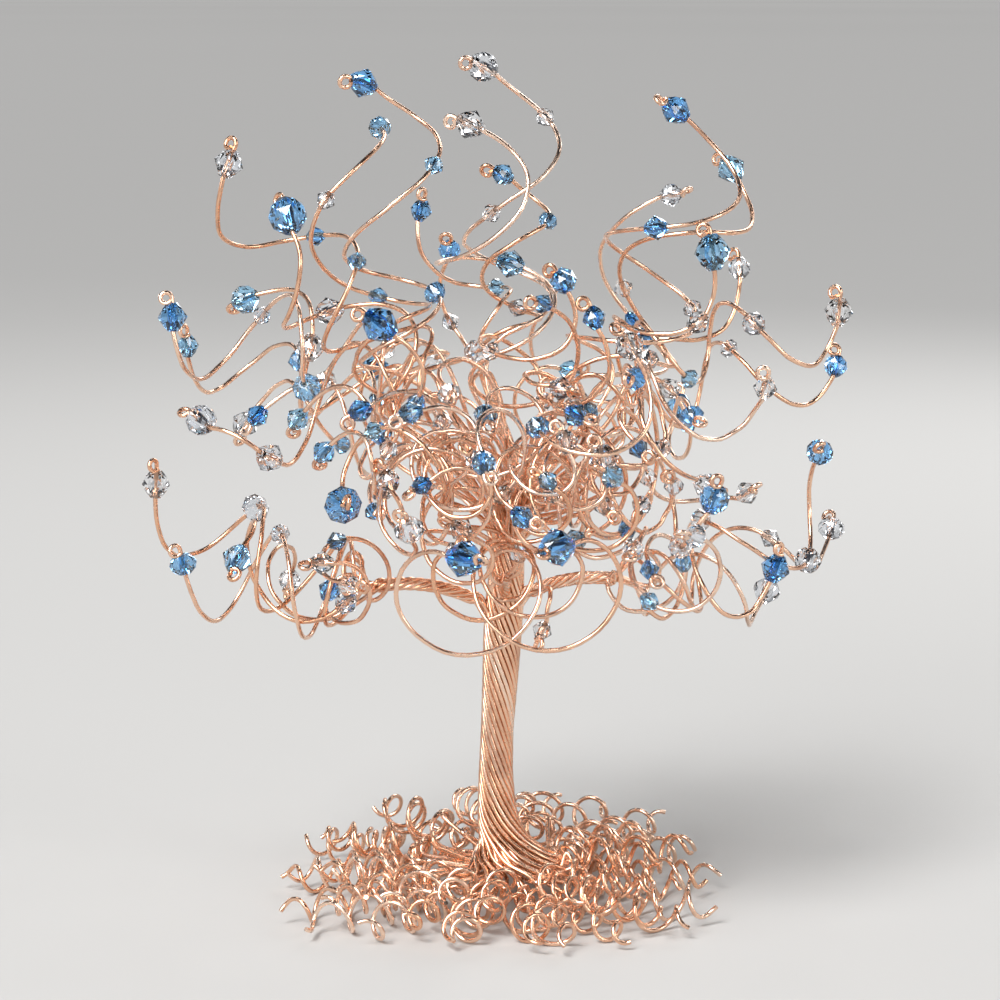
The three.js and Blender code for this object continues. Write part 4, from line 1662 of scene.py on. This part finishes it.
@dataclass(frozen=True)
class BeadShape:
    """The facets of a bead of width one.

    It has rings of corners from end to end, every other ring turned by half a facet. The rings of a ball and
    a disc are shares of the half length and the radius. Those of a double cone are its end and its star,
    which is as high as the cone is there.
    """

    cut: Cut
    sides: int = 8
    radius: float = 0.5
    hole: float = 0.13
    cone_end: float = 0.36
    cone_star: float = 0.66
    ball: tuple[Range, ...] = ((0.52, 0.86), (1, 0.42))
    disc: tuple[Range, ...] = ((0.5, 0.9), (1, 0.5))

    def rings(self) -> list[tuple[float, float]]:
        """Find the rings from the lower end to the upper end.

        Returns:
            Height and radius of each.
        """
        h = self.cut.length / 2
        r = self.radius
        if self.cut is Cut.BICONE:
            end = self.cone_end * r
            star = self.cone_star * r
            rise = h * (r - star * math.cos(math.pi / self.sides)) / (r - end)
            upper = [(0.0, r), (rise, star), (h, end)]
        else:
            shares = self.ball if self.cut is Cut.ROUND else self.disc
            upper = [(0.0, r), *((up * h, out * r) for up, out in shares)]
        return [(-z, radius) for z, radius in upper[:0:-1]] + upper

    def mesh(self) -> bpy.types.Mesh:
        """Make the bead with its facets and its hole.

        Returns:
            The mesh.
        """
        count = self.sides
        rings = self.rings()
        corners = []
        faces = []
        for place, (z, radius) in enumerate(rings):
            corners += self._ring(z, radius, 0.5 * (place % 2))
        top = (len(rings) - 1) * count
        wall = len(corners)
        upper_wall = wall + count
        for z in (rings[0][0], rings[-1][0]):
            corners += self._ring(z, self.hole, 0)
        for place in range(len(rings) - 1):
            low = place * count
            high = low + count
            lag = place % 2
            for k in range(count):
                after = (k + 1) % count
                up = high + (k + lag) % count
                up_after = high + (after + lag) % count
                faces += [(low + k, low + after, up), (low + after, up_after, up)]
        for k in range(count):
            after = (k + 1) % count
            faces.append((k, wall + k, wall + after, after))
            faces.append((top + after, upper_wall + after, upper_wall + k, top + k))
            faces.append((wall + k, upper_wall + k, upper_wall + after, wall + after))
        mesh = bpy.data.meshes.new(f"{self.cut.label}_shape")
        mesh.from_pydata(corners, [], faces)
        return mesh

    def _ring(self, z: float, radius: float, turned: float) -> list[Place]:
        """Return the corners of a ring that is turned by a share of a facet."""
        angles = [FULL_TURN * (k + turned) / self.sides for k in range(self.sides)]
        return [(radius * math.cos(a), radius * math.sin(a), z) for a in angles]


@dataclass
class BeadString:
    """All beads of one cut and tint, threaded on their wires."""

    cut: Cut
    tint: Tint
    threaded: list[Threaded]
    stands_for: list[str]
    most_turned: float = 6.28
    piece: Optional[bpy.types.Object] = None

    @property
    def name(self) -> str:
        """Plain name of the piece."""
        return f"{self.tint.value}_{self.cut.label}_crystals"

    def build(self, material: bpy.types.Material, chance: np.random.Generator) -> None:
        """Set a cut bead on each place.

        Args:
            material: the crystal's finish.
            chance: the seeded source of each bead's turn and shade.
        """
        count = len(self.threaded)
        mesh = bpy.data.meshes.new(self.name)
        mesh.from_pydata([(t.at * MM).tolist() for t in self.threaded], [], [])
        heading = mesh.attributes.new("heading", "FLOAT_VECTOR", "POINT").data
        heading.foreach_set("vector", np.concatenate([t.heading for t in self.threaded]).astype(np.float32))
        numbers = {
            "width": [t.bead.size * MM for t in self.threaded],
            "turned": chance.uniform(0, self.most_turned, count),
            "shade": chance.uniform(0, 1, count),
        }
        for name, values in numbers.items():
            stored = mesh.attributes.new(name, "FLOAT", "POINT").data
            stored.foreach_set("value", np.array(values, np.float32))
        self.piece = new_object(self.name, mesh)
        shape = new_object(f"{self.name}_shape", BeadShape(self.cut).mesh())
        bead_threading(material).make_plain(self.piece, {"Bead": shape, "Size": 1.0})
        bpy.data.objects.remove(shape)

    def dress(self) -> None:
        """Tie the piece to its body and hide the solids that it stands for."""
        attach(self.piece, BODY)
        if self.stands_for:
            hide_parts(*self.stands_for)


@dataclass
class Topper:
    """The whole wire tree: its wires by piece and its beads by cut and tint."""

    winding: Winding
    works: list[WireWork] = field(default_factory=list)
    strings: list[BeadString] = field(default_factory=list)
    same_place: float = 0.0005

    def build(self) -> None:
        """Make every piece."""
        self.winding.wind()
        paths = self.winding.paths
        strands = [(p.points[p.foot:p.limb_end + 1], p.tone) for p in paths]
        curls = [(p.points[:p.foot + 1], p.tone) for p in paths if p.foot]
        self.works.append(WireWork("trunk_strands", strands, ["trunk"]))
        self.works.append(WireWork("root_curls", curls, self._solids("root_curls")))
        for limb in LIMBS:
            ends = [(p.points[p.limb_end:], p.tone) for p in paths if p.limb == limb]
            self.works.append(WireWork(f"{limb}_corkscrews", ends, self._solids(f"crown_wires_{limb}_")))
        tree = wire_sweep(COPPER.material())
        for work in self.works:
            work.build(tree)
            LOG.info("%s: %d wires, %d faces", work.name, len(work.stretches), len(work.piece.data.polygons))
        self._thread_beads()

    @staticmethod
    def _solids(start: str) -> list[str]:
        """List the frame's nodes whose names start so."""
        return [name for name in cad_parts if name.startswith(start)]

    def _thread_beads(self) -> None:
        """Make the beads, one piece for each cut and tint."""
        chance = np.random.default_rng(SEED + 1)
        finishes = {tint: finish.material() for tint, finish in CRYSTALS.items()}
        for tint in Tint:
            solids = self._solids(f"{tint.value}_crystal_")
            for cut in Cut:
                threaded = [t for t in self.winding.beads if t.bead.cut is cut and t.bead.tint is tint]
                string = BeadString(cut, tint, threaded, [n for n in solids if self._holds(n, threaded)])
                string.build(finishes[tint], chance)
                self.strings.append(string)
                faces = len(string.piece.data.polygons)
                LOG.info("%s: %d beads, %d faces", string.name, len(threaded), faces)

    def _holds(self, node: str, threaded: Iterable[Threaded]) -> bool:
        """Say whether a bead's solid is where one of some beads is.

        Args:
            node: the solid.
            threaded: the beads.

        Returns:
            True if it is.
        """
        low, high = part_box(node)
        middle = (np.array(low) + np.array(high)) / 2
        return any(np.linalg.norm(t.at * MM - middle) < self.same_place for t in threaded)

    def dress(self) -> None:
        """Tie every piece to the frame."""
        for piece in (*self.works, *self.strings):
            piece.dress()


def facing(start: Place, aim: Place) -> Place:
    """Return the turn of a lamp or camera that looks from one point at another, with its top upwards."""
    x, y, z = (a - s for s, a in zip(start, aim))
    return (math.pi / 2 + math.atan2(z, math.hypot(x, y)), 0.0, math.atan2(-x, y))


@dataclass(frozen=True)
class Lamp:
    """A soft square light: where it stands, what it points at, its size and its power."""

    name: str
    at: Place
    aim: Place
    size: float
    power: float

    def build(self) -> None:
        """Put the light into the scene."""
        light = bpy.data.lights.new(self.name, "AREA")
        light.energy = self.power
        light.size = self.size
        lamp = new_object(self.name, light)
        lamp.location = self.at
        lamp.rotation_euler = facing(self.at, self.aim)
        lamp.visible_camera = False


@dataclass(frozen=True)
class Studio:
    """Pale floor, soft lights and the camera, in metres and degrees.

    sky has the colours of the surroundings by height: that of the far floor, so that the two meet without a
    line, then a pale one, and a dark one overhead, so that bright metal has contrast.
    """

    floor_radius: float = 80.0
    floor_sides: int = 48
    floor_light: Colour = (196, 195, 193)
    floor_shade: Colour = (192, 191, 189)
    floor_clouds: float = 0.05
    floor_grain: float = 40.0
    floor_roughness: Range = (0.55, 0.7)
    sky: tuple[tuple[float, Colour], ...] = (
        (0.02, (158, 157, 156)), (0.08, (200, 200, 201)), (0.55, (40, 42, 48)),
    )
    sky_strength: float = 1.3
    sun_power: float = 2.8
    sun_width: float = 24.0
    sun_at: Place = (-0.45, -0.6, 1.0)
    distance: float = 0.6
    pitch: float = 10.0
    aim: Place = (0.0, 0.0, 0.087)
    lens: float = 103.68
    sensor: float = 36.0
    lamps: tuple[Lamp, ...] = (
        Lamp("key_light", (-0.5, -0.75, 0.5), (0, 0, 0.09), 0.45, 4.8),
        Lamp("fill_light", (0.8, -0.5, 0.35), (0, 0, 0.09), 0.3, 1.8),
        Lamp("back_light", (0.3, 0.8, 0.6), (0, 0, 0.1), 0.3, 2.0),
    )
    sparkles: int = 12
    sparkle_distance: float = 0.95
    sparkle_heights: Range = (12.0, 64.0)
    sparkle_size: float = 0.09
    sparkle_power: float = 0.25

    def build(self) -> None:
        """Make the floor, the lights and the camera."""
        self._floor()
        for lamp in (*self.lamps, *self._sparkles()):
            lamp.build()
        self._sky()
        self._sun()
        self._camera()
        bpy.context.scene.view_settings.view_transform = "Standard"

    def _camera(self) -> None:
        """Put up the camera in front of the tree."""
        camera = new_object("camera", bpy.data.cameras.new("camera"))
        camera.data.lens = self.lens
        camera.data.sensor_width = self.sensor
        pitch = math.radians(self.pitch)
        x, y, z = self.aim
        camera.location = (x, y - self.distance * math.cos(pitch), z + self.distance * math.sin(pitch))
        camera.rotation_euler = facing(tuple(camera.location), self.aim)
        bpy.context.scene.camera = camera

    def _sparkles(self) -> list[Lamp]:
        """Stand small lamps all round the tree, which glint in wire and facets.

        Returns:
            The lamps.
        """
        lamps = []
        low, high = self.sparkle_heights
        for k in range(self.sparkles):
            around = GOLDEN_ANGLE * k
            up = math.radians(low + (high - low) * k / (self.sparkles - 1))
            level = self.sparkle_distance * math.cos(up)
            at = (level * math.cos(around), level * math.sin(around), self.sparkle_distance * math.sin(up))
            lamps.append(Lamp(f"sparkle_{k + 1}", at, self.aim, self.sparkle_size, self.sparkle_power))
        return lamps

    def _sky(self) -> None:
        """Make the surroundings."""
        world = bpy.data.worlds.new("studio")
        world.use_nodes = True
        nodes = world.node_tree.nodes
        links = world.node_tree.links
        height = nodes.new("ShaderNodeSeparateXYZ")
        ramp = nodes.new("ShaderNodeValToRGB")
        links.new(nodes.new("ShaderNodeTexCoord").outputs["Generated"], height.inputs[0])
        links.new(height.outputs["Z"], ramp.inputs["Fac"])
        links.new(ramp.outputs["Color"], nodes["Background"].inputs["Color"])
        ramp.color_ramp.elements.new(0.5)
        for stop, (position, colour) in zip(ramp.color_ramp.elements, self.sky):
            stop.position = position
            stop.color = linear(*colour)
        nodes["Background"].inputs["Strength"].default_value = self.sky_strength
        bpy.context.scene.world = world

    def _sun(self) -> None:
        """Light the whole floor evenly."""
        light = bpy.data.lights.new("even_light", "SUN")
        light.energy = self.sun_power
        light.angle = math.radians(self.sun_width)
        new_object("even_light", light).rotation_euler = facing(self.sun_at, (0, 0, 0))

    def _floor(self) -> None:
        """Make the round floor."""
        angles = [FULL_TURN * k / self.floor_sides for k in range(self.floor_sides)]
        rim = [(self.floor_radius * math.cos(a), self.floor_radius * math.sin(a), 0) for a in angles]
        mesh = bpy.data.meshes.new("floor")
        mesh.from_pydata(rim, [], [tuple(range(self.floor_sides))])
        graph = ShaderGraph("pale_floor")
        cloud = graph.spread(graph.noise(self.floor_clouds), 0, 1)
        colour = graph.between(cloud, linear(*self.floor_light), linear(*self.floor_shade))
        graph.surface("Base Color", colour)
        graph.surface("Roughness", graph.spread(graph.noise(self.floor_grain), *self.floor_roughness))
        graph.surface("Specular IOR Level", 0.0)
        mesh.materials.append(graph.material)
        new_object("floor", mesh)


def main() -> None:
    """Build the tree and the studio."""
    logging.basicConfig(level=logging.INFO, format="%(name)s %(message)s")
    topper = Topper(Winding())
    topper.build()
    topper.dress()
    Studio().build()


if __name__ == "__main__":
    main()
